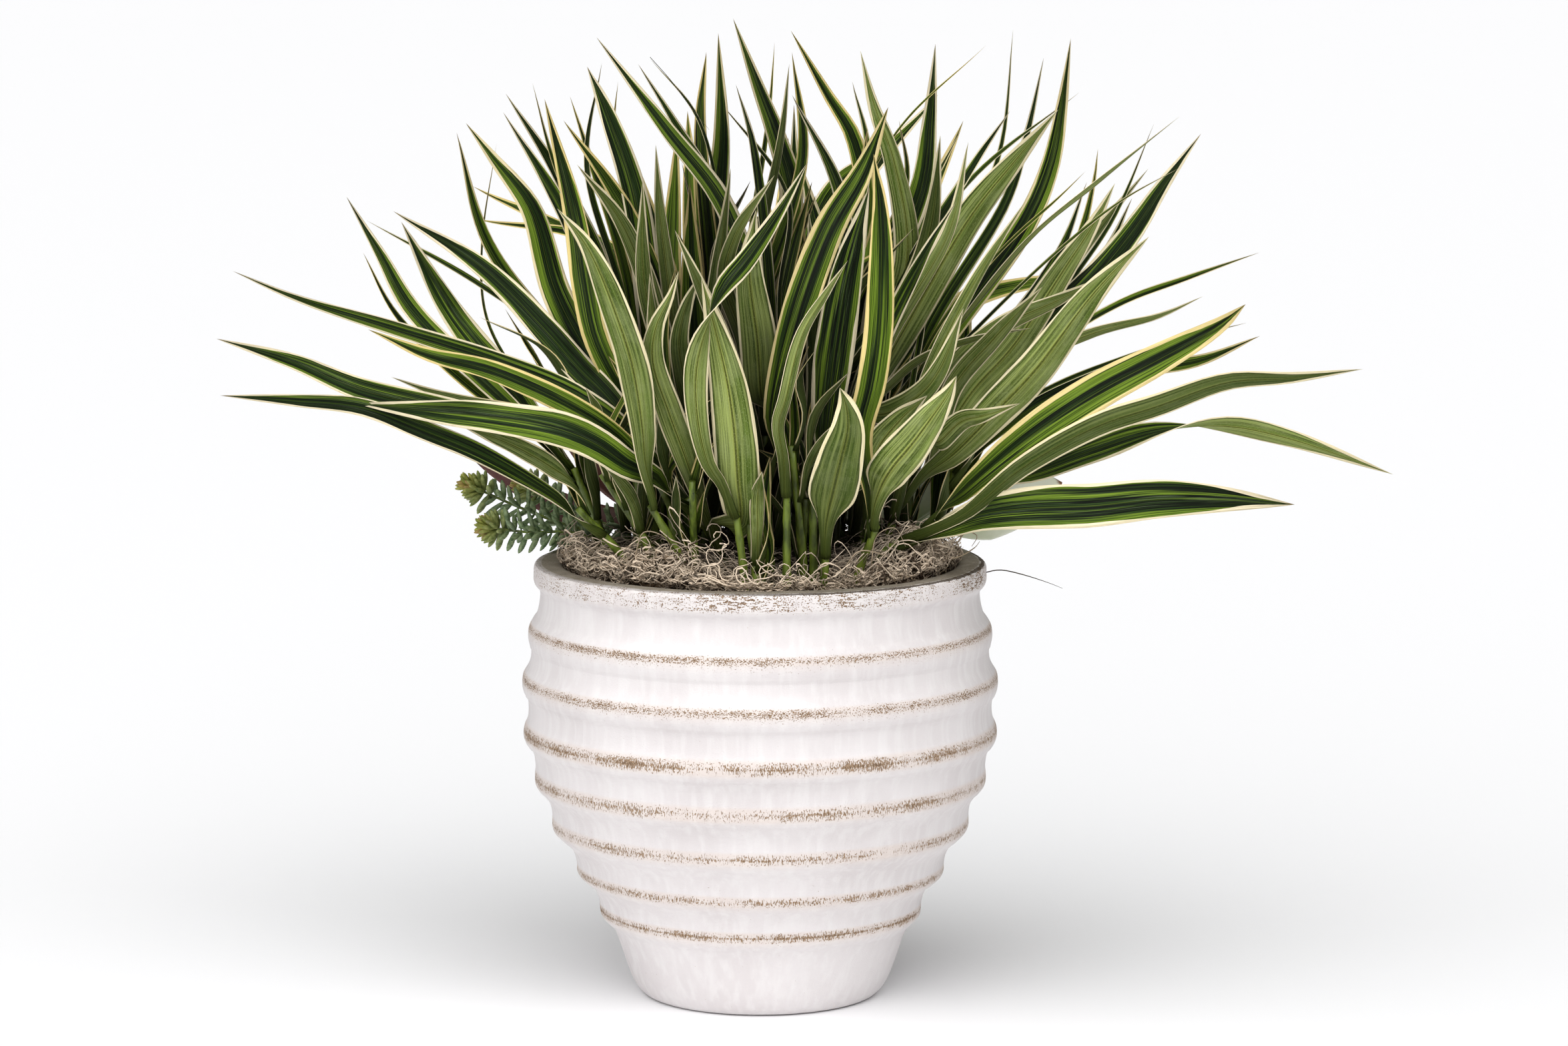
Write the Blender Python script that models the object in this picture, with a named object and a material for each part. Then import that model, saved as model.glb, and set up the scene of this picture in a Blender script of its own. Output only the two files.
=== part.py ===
"""A ribbed pot filled with moulded variegated grass, moss, sedum sprays and two succulent rosettes.

Metres, +Z up. The origin is the middle of the pot's flat base and the front faces -Y.
Tables of places are in centimetres and are turned into metres by the functions that read them.
All heights count from FOOT_LEVEL below the pot's foot, until the last step lowers everything by that.
"""

import math
import random

import bmesh
import bpy
import numpy as np
from mathutils import Matrix
from mathutils.bvhtree import BVHTree

CM = 0.01
GAP = 0.0003
FOOT_LEVEL = 0.006

# The eye from which the front view's places are read
EYE = np.array((0.018, -3.8, 0.895))

# Pot: radius and height up its foot, then from the crest of each rib to below the next, then its rim
POT_SIDES = 32
POT_OUTSIDE = (
    (8.75, 0.6), (9.25, 0.95), (9.8, 1.7), (10.9, 4.8), (11.3, 5.8), (12.1, 6.6),
    (12.27, 7.2), (12.4, 8.1), (12.95, 9.1), (13.8, 9.9),
    (14.0, 10.5), (14.15, 11.4), (14.75, 12.4), (15.66, 13.3),
    (15.85, 13.9), (15.9, 15.0), (16.35, 16.0), (16.95, 16.7),
    (17.15, 17.4), (17.1, 18.5), (17.25, 19.2), (17.75, 20.1),
    (17.97, 20.9), (17.62, 22.0), (17.6, 23.1), (17.85, 23.9),
    (18.08, 24.8), (17.9, 25.3), (17.4, 26.2), (17.36, 27.2),
    (17.57, 28.4), (17.3, 29.2), (16.9, 29.8), (16.65, 31.1), (17.08, 32.3), (17.13, 33.2), (16.8, 33.7),
)
POT_MOUTH = 0.149
POT_RIM_HEIGHT = 0.337
POT_RIM_ROUNDING = 0.003
POT_INSIDE = ((14.9, 30.0), (15.9, 25.5), (15.8, 20.5), (14.0, 14.5), (10.6, 8.0), (8.6, 1.6))
FILLER_TOP = 0.296
STEM_HOLE_FLOOR = 0.225

# Moss: its level at the rim, and mounds as centre, radius and height, in centimetres
MOSS_LEVEL = 33.0
MOSS_UNDERSIDE = FILLER_TOP + GAP
MOSS_MOUNDS = (
    (12.0, -4.5, 4.2, 2.6), (-7.5, -9.5, 5.5, 1.5), (-1.0, 7.0, 8.0, 1.2), (2.8, -12.5, 5.0, -1.6),
    (-12.0, 1.0, 3.5, 0.9), (9.5, 9.5, 4.0, 1.0),
)
MOSS_RINGS = 5
MOSS_SIDES = POT_SIDES
MOSS_LUMP = 0.0022
MOSS_SEED = 5
# The mounds keep this share of their height at the rim, and all of it this far inside it
MOUND_AT_RIM = 0.35
MOUND_INSIDE = 0.03

# Grass stems: root x, y and top x, y, z, in centimetres
STEM_RADIUS = 0.0034
STEM_TOP_RADIUS = 0.0026
STEM_SIDES = 5
STEM_BOW = 0.12
HOLE_CLEARANCE = 0.0004
HOLE_CUTTER_HEIGHT = 0.2
# How far a stem rises upright from the moss before it leans
UPRIGHT_RISE = 0.004
STEMS = (
    (-9.8, -8.2, -13.4, -9.6, 39.0),
    (-7.2, -3.4, -9.6, -4.4, 41.0),
    (-5.6, -10.4, -8.0, -11.6, 39.5),
    (-2.4, -6.6, -5.4, -8.2, 39.5),
    (-1.0, -11.8, -1.7, -12.2, 39.0),
    (0.8, -7.6, 0.5, -8.2, 41.0),
    (2.0, -11.6, 2.0, -11.8, 40.5),
    (4.0, -8.2, 3.9, -8.8, 40.0),
    (4.6, -12.0, 5.1, -12.8, 38.5),
    (7.0, -9.8, 8.6, -11.4, 38.0),
    (8.8, -6.0, 13.2, -7.6, 37.6),
    (9.4, -1.8, 11.4, -2.2, 41.0),
    (-4.2, -1.4, -5.0, -1.4, 43.0),
    (0.2, -2.8, 0.4, -2.8, 44.0),
    (4.7, -3.4, 5.6, -3.4, 43.0),
    (-11.4, -1.6, -14.0, -1.8, 41.0),
    (12.8, 2.2, 15.0, 2.4, 41.0),
    (-7.2, 3.2, -8.2, 3.8, 43.0),
    (-2.2, 3.4, -2.6, 4.0, 44.0),
    (2.6, 3.0, 3.0, 3.6, 44.0),
    (7.6, 3.2, 8.8, 3.8, 43.0),
    (-4.2, 9.0, -5.0, 11.0, 42.0),
    (1.0, 10.6, 1.2, 12.6, 42.0),
    (5.8, 8.4, 6.9, 10.2, 42.0),
)

# Grass blades, seen from the front: stem, width, turn, tip depth, then x and z along the blade to its tip.
# Turn is the angle from the dark face towards the front: 90 is edge on and 180 shows the pale face.
# A pair of turns gives a blade that twists halfway along.
BLADES = (
    (3, 3.0, 176, -14, -1.6, 36.5, -1.7, 40.0, -2.0, 44.0, -2.5, 47.5, -3.3, 51.0, -4.4, 55.2),
    (8, 3.3, 178, -16, 4.8, 36.8, 5.6, 39.4, 6.1, 41.5, 6.6, 43.7, 6.5, 45.4, 6.0, 46.9),
    (9, 2.9, 176, -17, 8.2, 38.9, 9.8, 40.6, 11.5, 42.7, 12.9, 44.6, 14.2, 46.5, 14.8, 47.8),
    (10, 3.0, 15, -9, 16.5, 37.2, 20.0, 37.7, 25.0, 37.9, 30.0, 38.4, 35.0, 38.4, 40.4, 38.0),
    (10, 2.7, 25, -4, 15.3, 38.9, 20.0, 42.9, 25.5, 46.6, 30.0, 49.0, 34.4, 51.5, 36.5, 53.2),
    (10, 1.8, 160, -13, 15.4, 37.2, 19.8, 40.8, 25.5, 44.0, 30.0, 45.5, 35.2, 47.3, 40.0, 47.6, 45.4, 48.3),
    (16, 1.9, (15, 165), -2, 20.0, 40.3, 25.0, 42.1, 30.0, 43.6, 35.0, 44.0, 40.0, 43.0, 47.8, 40.3),
    (3, 2.4, 18, -12, -7.9, 40.1, -10.0, 41.0, -12.2, 42.5, -15.0, 43.7, -20.0, 44.6, -25.0, 45.1, -30.5, 45.7),
    (3, 1.6, 25, -9, -10.0, 42.5, -12.9, 44.7, -20.0, 48.1, -25.0, 49.4, -29.5, 51.3),
    (3, 1.3, 30, -5, -9.5, 43.4, -13.8, 46.5, -20.0, 49.0, -27.7, 51.4, -35.0, 53.7, -39.6, 55.7),
    (0, 1.4, 20, -8, -15.4, 38.5, -21.0, 41.8, -25.0, 43.5, -30.0, 45.4, -35.0, 45.9, -40.7, 46.3),
    (0, 1.5, 160, -12, -14.6, 40.2, -18.0, 42.2, -22.5, 44.0),
    (1, 1.8, 30, 3, -16.0, 43.4, -23.7, 45.2, -30.0, 46.7, -35.0, 48.8, -40.9, 50.6),
    (1, 1.2, 150, -3, -16.5, 44.5, -23.7, 46.2, -27.8, 47.7),
    (3, 2.0, 20, 1, -11.2, 45.8, -13.8, 48.5, -16.3, 51.4, -20.9, 56.0, -27.5, 60.2),
    (12, 1.9, 20, 4, -8.7, 44.6, -10.7, 47.2, -12.4, 50.6, -13.2, 54.4, -14.0, 60.0, -16.1, 68.6),
    (1, 2.1, 15, 2, -11.2, 47.2, -13.3, 50.1, -15.4, 54.2, -17.2, 60.4, -20.0, 64.2, -22.0, 66.8),
    (2, 2.2, 170, -15, -8.9, 44.0, -9.6, 48.5, -10.6, 51.8, -12.9, 57.4, -15.2, 60.4),
    (3, 1.9, 170, -16, -5.6, 41.5, -6.9, 45.1, -8.1, 49.0, -7.8, 51.6, -6.8, 53.7, -6.1, 55.7),
    (12, 1.6, 165, -6, -5.2, 45.2, -5.8, 48.0, -6.1, 50.6, -5.5, 53.2, -4.4, 55.6),
    (4, 1.7, (178, 8), -13, -3.9, 41.0, -4.8, 45.4, -4.6, 49.5, -2.8, 54.2, -1.1, 56.4, 1.6, 60.4, 3.6, 63.9),
    (13, 2.6, 172, -7, 0.1, 46.2, -0.2, 50.6, -0.8, 55.7, -0.3, 60.3),
    (5, 2.3, 10, -1, 1.0, 45.0, 2.4, 50.9, 3.6, 54.8, 5.3, 59.1, 7.7, 63.2, 9.6, 68.0),
    (6, 1.1, 150, -13, 1.4, 44.0, 1.9, 46.0, 3.2, 51.0, 5.0, 54.0, 6.6, 56.5),
    (7, 2.7, 8, -12, 4.5, 43.0, 5.2, 46.5, 5.8, 51.0, 6.6, 55.7, 8.2, 62.0),
    (9, 2.0, 5, -8, 7.6, 43.5, 8.4, 47.2, 8.9, 51.0, 9.1, 56.0, 9.0, 60.7, 8.5, 64.5),
    (9, 2.2, 165, -13, 8.8, 42.0, 10.5, 44.4, 12.6, 46.3),
    (11, 1.7, 165, -11, 13.5, 42.8, 15.3, 44.4, 17.0, 44.8, 19.6, 45.7),
    (14, 1.7, 168, -9, 9.4, 44.9, 12.2, 46.5, 13.6, 48.4, 15.3, 52.9),
    (14, 1.2, 125, -5, 9.3, 46.5, 12.0, 48.9, 16.4, 50.6, 20.4, 51.4),
    (11, 1.5, 165, -6, 13.9, 47.5, 17.8, 51.3, 22.4, 53.5, 26.3, 55.4),
    (11, 1.5, 170, -2, 14.5, 46.8, 17.5, 50.5, 21.2, 54.5),
    (11, 2.3, 172, 2, 15.9, 46.5, 19.0, 50.0, 23.0, 56.1, 25.0, 59.2, 26.6, 62.3),
    (11, 2.7, 172, -9, 14.3, 41.6, 17.3, 44.6, 20.7, 48.2, 25.2, 54.2, 29.2, 58.3),
    (16, 1.0, 150, -4, 17.4, 45.8, 19.8, 48.6, 25.0, 51.0, 30.0, 52.3, 33.3, 53.8),
    (16, 0.7, 70, 5, 21.0, 46.4, 30.0, 50.0, 36.6, 51.8),
    (16, 1.5, 30, 1, 20.6, 45.5, 26.4, 48.0, 33.0, 48.9, 37.6, 50.8),
    (16, 0.9, 60, 7, 18.4, 46.0, 22.2, 50.2, 27.0, 53.2, 32.5, 55.3, 37.5, 57.1),
    (20, 1.1, 115, 6, 14.5, 51.0, 20.4, 58.2, 25.4, 62.4, 31.4, 67.3),
    (16, 0.9, 20, 5, 20.0, 50.0, 23.6, 57.0, 25.0, 62.3, 25.3, 64.9),
    (20, 1.2, 40, 8, 16.0, 48.5, 22.2, 56.5, 24.5, 62.4),
    (16, 0.7, 60, 8, 21.5, 52.0, 26.5, 59.6, 29.5, 66.8),
    (16, 1.5, 150, 2, 20.6, 52.0, 25.9, 59.4, 29.1, 63.4),
    (20, 2.1, 12, 0, 14.0, 47.5, 19.5, 50.5, 24.0, 54.0, 27.8, 58.5, 30.3, 62.3, 33.0, 66.0),
    (20, 0.7, 75, 3, 19.0, 54.0, 26.3, 60.4, 31.5, 63.5),
    (20, 1.3, 20, 3, 14.5, 47.0, 20.5, 51.0, 25.5, 56.3, 27.9, 61.2),
    (20, 0.7, 70, 4, 13.5, 51.5, 18.4, 57.5, 22.4, 61.2, 24.4, 63.2),
    (20, 1.8, 10, 7, 13.5, 50.0, 20.0, 59.4, 21.8, 63.8, 22.6, 68.2, 23.2, 73.1),
    (20, 1.0, 25, 10, 12.6, 51.0, 18.5, 61.0, 20.1, 66.4, 21.2, 71.7),
    (14, 2.4, 172, -6, 9.0, 48.0, 12.9, 55.0, 15.9, 60.0, 19.1, 64.0, 22.3, 67.8),
    (20, 0.7, 60, 12, 11.5, 56.0, 15.7, 62.4, 23.9, 69.1),
    (20, 1.0, 30, 9, 10.5, 54.0, 15.7, 63.2, 18.7, 67.7),
    (20, 0.7, 50, 9, 14.5, 56.0, 18.0, 64.7, 18.9, 73.8),
    (14, 1.6, 165, -4, 8.4, 49.0, 12.0, 56.0, 12.9, 59.5, 13.5, 65.9),
    (14, 1.4, 150, -1, 9.6, 50.5, 14.2, 58.7, 15.6, 65.4),
    (19, 1.8, 15, 8, 7.4, 52.0, 12.0, 61.6, 12.7, 67.0, 13.1, 72.7),
    (19, 0.8, 80, 11, 5.5, 56.0, 10.0, 65.7, 16.9, 72.6),
    (19, 0.9, 30, 6, 7.0, 53.0, 11.0, 62.4, 10.4, 67.0),
    (14, 1.3, 20, 2, 9.0, 50.0, 12.6, 57.4, 14.7, 60.9),
    (11, 0.8, 60, 1, 12.0, 50.0, 13.4, 56.4, 16.3, 60.1),
    (11, 1.1, 160, -3, 12.6, 47.5, 15.9, 54.5, 20.0, 61.1),
    (19, 2.0, 150, 5, 8.0, 50.0, 11.0, 56.2, 10.0, 64.0, 8.5, 68.2, 7.5, 72.2),
    (19, 1.0, 25, 12, 5.2, 54.0, 8.1, 64.0, 6.9, 69.9),
    (19, 1.6, 20, 9, 4.8, 52.0, 7.8, 60.0, 7.0, 65.6, 5.0, 69.0, 2.3, 73.7),
    (18, 1.1, 30, 9, 0.2, 54.0, 3.2, 64.0, 2.4, 72.1),
    (18, 1.0, 140, 5, -1.0, 54.0, 1.5, 65.0, 2.2, 71.2),
    (14, 1.3, 20, 3, 6.4, 52.0, 6.0, 61.4, 2.4, 68.9),
    (18, 1.8, 15, 7, -0.6, 52.0, 2.4, 60.9, 1.3, 65.7, 0.0, 69.2, -2.0, 74.6),
    (18, 0.7, 50, 12, -0.8, 57.0, 0.7, 67.4, 1.1, 72.8),
    (18, 1.7, 15, 8, -2.6, 52.0, -3.4, 58.0, -2.9, 66.0, -3.1, 73.5),
    (18, 1.3, 25, 11, -3.6, 55.0, -4.5, 66.0, -4.0, 72.1),
    (13, 0.9, 30, 4, 0.7, 54.0, -0.5, 65.0, -1.8, 69.7),
    (13, 0.7, 60, 7, 1.4, 54.0, 2.1, 61.0, -3.2, 68.7),
    (13, 1.5, 20, 4, -0.4, 52.0, -2.6, 60.4, -6.8, 66.1, -12.2, 73.2),
    (13, 1.2, 30, 1, -0.7, 53.5, -2.6, 60.0, -6.3, 66.7, -9.1, 71.2),
    (18, 0.6, 60, 8, -3.0, 60.0, -4.6, 67.0, -8.2, 71.6),
    (12, 1.2, 165, -4, -6.6, 52.0, -7.5, 60.0, -7.8, 65.2),
    (17, 2.0, 15, 6, -8.3, 52.0, -9.4, 61.3, -11.5, 67.7, -12.9, 71.0),
    (17, 0.7, 50, 10, -10.4, 54.0, -13.0, 63.4, -11.8, 71.3),
    (17, 0.7, 50, 8, -9.4, 56.0, -10.9, 66.4, -10.6, 69.9),
    (12, 1.6, 30, 2, -7.3, 53.0, -10.2, 60.4, -14.7, 67.0),
    (17, 0.9, 30, 8, -10.0, 55.0, -13.0, 65.0, -14.2, 68.8),
    (17, 0.7, 50, 6, -12.0, 55.0, -15.5, 64.0, -17.0, 69.8),
    (12, 1.6, 168, -3, -7.6, 51.5, -10.2, 59.0, -13.7, 63.7),
    (12, 1.4, 172, -6, -7.4, 49.5, -8.7, 55.0, -8.8, 62.5),
    (13, 1.3, 172, -7, -2.6, 50.0, -4.7, 55.0, -6.4, 58.8),
    (13, 1.0, 20, -1, -1.8, 51.0, -3.4, 56.6, -0.7, 62.5),
    (13, 1.2, 160, -4, -1.2, 50.0, -2.6, 54.6, -1.8, 58.5, 1.1, 62.9),
    (17, 1.4, 30, 5, -10.8, 53.0, -15.0, 62.6, -19.0, 69.0),
    (17, 1.4, 25, 3, -11.5, 52.5, -15.1, 60.8, -19.2, 67.6),
    (17, 1.2, 30, 4, -14.0, 49.0, -20.4, 57.7, -22.7, 66.1),
    (15, 1.6, 40, 5, -21.0, 47.5, -26.3, 52.9, -28.5, 56.9, -31.0, 61.3),
    (15, 1.0, 60, 3, -22.5, 47.4, -27.4, 52.4, -29.8, 57.1),
    (17, 0.8, 60, 8, -13.0, 48.6, -21.0, 54.6, -29.5, 59.5),
    (15, 2.0, 20, 2, -19.5, 47.8, -23.4, 52.9, -26.9, 59.4),
    (15, 0.8, 80, 4, -18.0, 47.0, -20.7, 52.4, -20.9, 58.0, -19.7, 65.3),
)

# Drawn blades, how many from each stem: tall ones in the crown first, then those of the back and the sides
TALL_DRAWS = ((12, 5), (13, 6), (14, 6), (17, 5), (18, 7), (19, 7), (20, 5))
FILL_DRAWS = (
    (21, 12), (22, 12), (23, 12), (17, 8), (20, 7), (15, 6), (16, 6), (18, 9), (19, 9), (12, 6), (13, 6),
    (14, 3),
)
FILL_SEED = 11
FILL = {
    "tries": 80, "widths": (0.015, 0.027), "fan": 1.1, "reach": (0.05, 0.25), "rise": (0.14, 0.30),
    "droop": (-0.03, 0.06), "roll": 40, "crown": (0.33, 0.385),
}
TALL = {
    "tries": 120, "widths": (0.014, 0.024), "fan": 3.1, "reach": (0.02, 0.13), "rise": (0.18, 0.32),
    "droop": (-0.02, 0.02), "roll": 35, "crown": (0.29, 0.35),
}
# A drawn blade stays inside its crown, a half width and a height over the rim, and behind the front
FILL_FRONT = -0.06
FILL_SECTION_LENGTH = 0.1
BLADE_STOUTNESS = 1.08
LISTED_TRIES = 120
DEPTH_STEP, BOW_STEP = 0.6, 1.0
BLADE_ROOT_WIDTH = 0.0044
BLADE_THICKNESS = 0.0015
BLADE_FOLD = 0.11
WIDEST_AT = 0.46
SHEATH_LENGTH = 0.03
SHEATH_SPREAD = 0.42
SECTION_LENGTH = 0.085
MOST_SECTIONS = 7
TWISTED_SECTIONS = 11
TWIST_START, TWIST_END = 0.36, 0.74
BLADE_SPACING = 0.006
CLEARANCE = 0.0016
PLACE_SPACING = 0.018
LOWEST_BLADE = 0.008
TOP_MARGIN = 0.002

# Blades keep this far above the moss and the rim, within this far of the pot's axis
BLADE_FLOOR = 0.006
RIM_REACH = 0.21

# Sedum sprays, seen from the front: root x, y, then x, z and depth along the stem to the head
SEDUM_STEM_RADIUS = 0.0016
SEDUM_STEM_SIDES = 4
SEDUM_LEAF = (0.0130, 0.0056)
SEDUM_LEAF_SIZES = (0.88, 1.08)
SEDUM_WHORLS, SEDUM_WHORL_LEAVES = 8, 2
SEDUM_HEAD_WHORLS, SEDUM_HEAD_LEAVES = 5, 3
SEDUM_LEAFY_FROM, SEDUM_HEAD_FROM = 0.18, 0.87
SEDUM_SEED = 3
SEDUM_SPRAYS = (
    (-11.2, 7.6, (-14.5, 36.4, 7.8), (-18.2, 37.8, 8.2), (-22.0, 39.5, 8.6)),
    (-12.4, 4.4, (-14.6, 35.9, 4.6), (-17.6, 35.9, 5.0), (-20.7, 36.3, 5.4)),
    (-9.4, 9.6, (-12.6, 36.8, 10.4), (-15.6, 38.3, 11.0), (-18.0, 39.6, 11.4)),
)

ROSETTE_STEM_RADIUS = 0.006
ROSETTE_STEM_SIDES = 6
ROSETTE_HEART_RADIUS = 0.0105
ROSETTE_HEART_RISE = 0.018
ROSETTE_TOP_RISE = 0.022

# Rosettes: root x, y, leaf width, thickness and widest place, then each leaf as tip x, z, depth, roll
PALE_ROSETTE = (
    11.0, 7.4, 5.0, 0.55, 0.74,
    (
        (22.8, 39.7, 9.0, 62), (17.0, 37.6, 15.5, 20), (10.5, 38.6, 16.5, 0), (13.0, 40.5, 11.0, 0),
        (5.5, 37.6, 13.5, -10),
    ),
)
MAROON_ROSETTE = (
    -6.2, 11.6, 2.8, 0.5, 0.4,
    (
        (-21.4, 41.2, 17.0, 45), (-15.5, 44.0, 21.0, 10), (-8.0, 39.5, 21.5, 0), (-8.5, 40.2, 15.5, 0),
        (-0.2, 38.4, 18.5, 0),
    ),
)

# Room kept for the sedum sprays and the rosettes, as centres and radii in metres
KEEP_CLEAR = (
    ((-0.165, 0.09, 0.365), (0.085, 0.07, 0.045)),
    ((0.16, 0.10, 0.365), (0.075, 0.07, 0.05)),
    ((-0.11, 0.165, 0.385), (0.11, 0.065, 0.06)),
)

COLOURS = {
    "pot": ((0.86, 0.85, 0.82), 0.8),
    "filler": ((0.10, 0.13, 0.07), 0.9),
    "moss": ((0.32, 0.26, 0.20), 0.95),
    "grass": ((0.13, 0.24, 0.07), 0.45),
    "sedum": ((0.16, 0.27, 0.15), 0.5),
    "pale": ((0.60, 0.62, 0.50), 0.5),
    "maroon": ((0.17, 0.06, 0.05), 0.5),
}


def clear_scene():
    for obj in list(bpy.data.objects):
        bpy.data.objects.remove(obj)


def make_material(name):
    colour, roughness = COLOURS[name]
    material = bpy.data.materials.new(name)
    material.use_nodes = True
    shader = material.node_tree.nodes["Principled BSDF"]
    shader.inputs["Base Color"].default_value = (*colour, 1)
    shader.inputs["Roughness"].default_value = roughness
    return material


def make_object(name, points, faces, material=None, collection=None):
    """An object whose faces all point outwards."""
    mesh = bpy.data.meshes.new(name)
    mesh.from_pydata([tuple(map(float, p)) for p in points], [], faces)
    work = bmesh.new()
    work.from_mesh(mesh)
    bmesh.ops.recalc_face_normals(work, faces=work.faces)
    work.to_mesh(mesh)
    work.free()
    obj = bpy.data.objects.new(name, mesh)
    (collection or bpy.context.scene.collection).objects.link(obj)
    if material:
        mesh.materials.append(material)
    return obj


def apply_boolean(obj, others, operation, solver="EXACT"):
    """Joins the others to the object, or cuts them from it, and removes them."""
    modifier = obj.modifiers.new("joined", "BOOLEAN")
    modifier.operation = operation
    modifier.solver = solver
    modifier.operand_type = "COLLECTION"
    modifier.collection = others
    graph = bpy.context.evaluated_depsgraph_get()
    joined = bpy.data.meshes.new_from_object(obj.evaluated_get(graph))
    obj.modifiers.remove(modifier)
    obj.data = joined
    for other in list(others.objects):
        bpy.data.objects.remove(other)
    bpy.data.collections.remove(others)


def fuse(name, material, pieces):
    """One closed body from closed pieces, each given as points and faces, that overlap the first."""
    core = make_object(name, *pieces[0], material)
    others = bpy.data.collections.new(name + "_pieces")
    bpy.context.scene.collection.children.link(others)
    for number, (points, faces) in enumerate(pieces[1:]):
        make_object(f"{name}_piece_{number}", points, faces, None, others)
    apply_boolean(core, others, "UNION")
    return core


def unit(vector):
    return vector / np.linalg.norm(vector)


def from_front(x, z, depth):
    """The point at this depth that the eye sees at (x, z) in the upright plane through the origin."""
    seen = np.array((x * CM, 0, z * CM))
    return EYE + (seen - EYE) * (1 - depth * CM / EYE[1])


def smooth_curve(points, shares):
    """Points at these shares of the length of a smooth curve through the given ones."""
    points = np.asarray(points, float)
    points = np.vstack((2 * points[0] - points[1], points, 2 * points[-1] - points[-2]))
    steps = np.linalg.norm(np.diff(points, axis=0), axis=1) ** 0.5
    knots = np.concatenate(([0], np.cumsum(steps)))
    curve = []
    for i in range(1, len(points) - 2):
        before, start, end, after = points[i - 1 : i + 3]
        a, b, c, d = knots[i - 1 : i + 3]
        across = (end - start) / (c - b)
        leave = (c - b) * ((start - before) / (b - a) - (end - before) / (c - a) + across)
        arrive = (c - b) * (across - (after - start) / (d - b) + (after - end) / (d - c))
        for t in np.linspace(0, 1, 12, endpoint=False):
            curve.append(
                (2 * t**3 - 3 * t**2 + 1) * start
                + (t**3 - 2 * t**2 + t) * leave
                + (3 * t**2 - 2 * t**3) * end
                + (t**3 - t**2) * arrive
            )
    curve = np.array(curve + [points[-2]])
    run = np.concatenate(([0], np.cumsum(np.linalg.norm(np.diff(curve, axis=0), axis=1))))
    at = np.asarray(shares) * run[-1]
    return np.column_stack([np.interp(at, run, curve[:, k]) for k in range(3)])


def moss_height(x, y):
    """Height of the moss at a point, in metres."""
    height = MOSS_LEVEL
    for centre_x, centre_y, radius, rise in MOSS_MOUNDS:
        away = ((x / CM - centre_x) ** 2 + (y / CM - centre_y) ** 2) / radius**2
        height += rise * math.exp(-away)
    inside = min(1, max(0, (POT_MOUTH - math.hypot(x, y)) / MOUND_INSIDE))
    kept = MOUND_AT_RIM + (1 - MOUND_AT_RIM) * inside
    return (MOSS_LEVEL + (height - MOSS_LEVEL) * kept) * CM


def stem_path(stem):
    """Points up the middle of a grass stem, from the floor of its hole to its top."""
    root_x, root_y, top_x, top_y, top_z = (CM * value for value in stem)
    start = moss_height(root_x, root_y) + UPRIGHT_RISE
    root = np.array((root_x, root_y, start))
    top = np.array((top_x, top_y, top_z))
    bow = np.array((0, 0, STEM_BOW * np.linalg.norm(top - root)))
    above = [root + (top - root) * t + bow * 4 * t * (1 - t) * (1 - t) for t in (0, 0.33, 0.66, 1)]
    return [np.array((root_x, root_y, STEM_HOLE_FLOOR + GAP))] + above


def tube(path, radii, sides):
    """Points and faces of a closed tube along a path of points."""
    points = []
    path = [np.asarray(p, float) for p in path]
    for i, middle in enumerate(path):
        along = unit(path[min(i + 1, len(path) - 1)] - path[max(i - 1, 0)])
        if i == 0 or (i == 1 and abs(path[1][2] - path[0][2]) > 0.05):
            along = np.array((0.0, 0.0, 1.0))
        side = unit(np.cross(along, (0.0, 1.0, 0.0)))
        other = np.cross(along, side)
        for k in range(sides):
            angle = 2 * math.pi * k / sides
            points.append(middle + radii[i] * (math.cos(angle) * side + math.sin(angle) * other))
    faces = [tuple(range(sides)), tuple(range(len(points) - sides, len(points)))]
    for i in range(len(path) - 1):
        for k in range(sides):
            a, b = i * sides + k, i * sides + (k + 1) % sides
            faces.append((a, b, b + sides, a + sides))
    return points, faces


def stem_point(path, height):
    """The place on a stem at this height, and the stem's direction there."""
    above = path[1:]
    for start, end in zip(above, above[1:]):
        if height <= end[2]:
            break
    share = (height - start[2]) / (end[2] - start[2])
    return start + (end - start) * share, unit(end - start)


def blade_width(share, width):
    """Width of a blade at this share of its length."""
    root = min(BLADE_ROOT_WIDTH, width)
    if share < WIDEST_AT:
        return root + (width - root) * math.sin(math.pi / 2 * share / WIDEST_AT) ** 1.2
    return width * (1 - ((share - WIDEST_AT) / (1 - WIDEST_AT)) ** 2.1)


def blade_shares(length, sections):
    """Where along its length a blade has its corners: the end of its sheath, then evenly to the tip."""
    sheath = SHEATH_LENGTH / length
    return np.concatenate(([0], np.linspace(sheath, 1, sections + 1)))


def blade_normals(spine, shares, turns, reference, lean):
    """The direction that the dark face looks at each point of a spine, turned from the reference."""
    normals = []
    last = len(spine) - 1
    for i, share in enumerate(shares):
        along = unit(spine[min(i + 1, last)] - spine[max(i - 1, 0)])
        facing = unit(reference - along * np.dot(reference, along))
        up = np.cross(along, facing) * lean
        twist = min(1, max(0, (share - TWIST_START) / (TWIST_END - TWIST_START)))
        angle = math.radians(turns[0] + (turns[1] - turns[0]) * twist * twist * (3 - 2 * twist))
        normals.append(math.cos(angle) * facing + math.sin(angle) * up)
    return np.array(normals)


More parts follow.
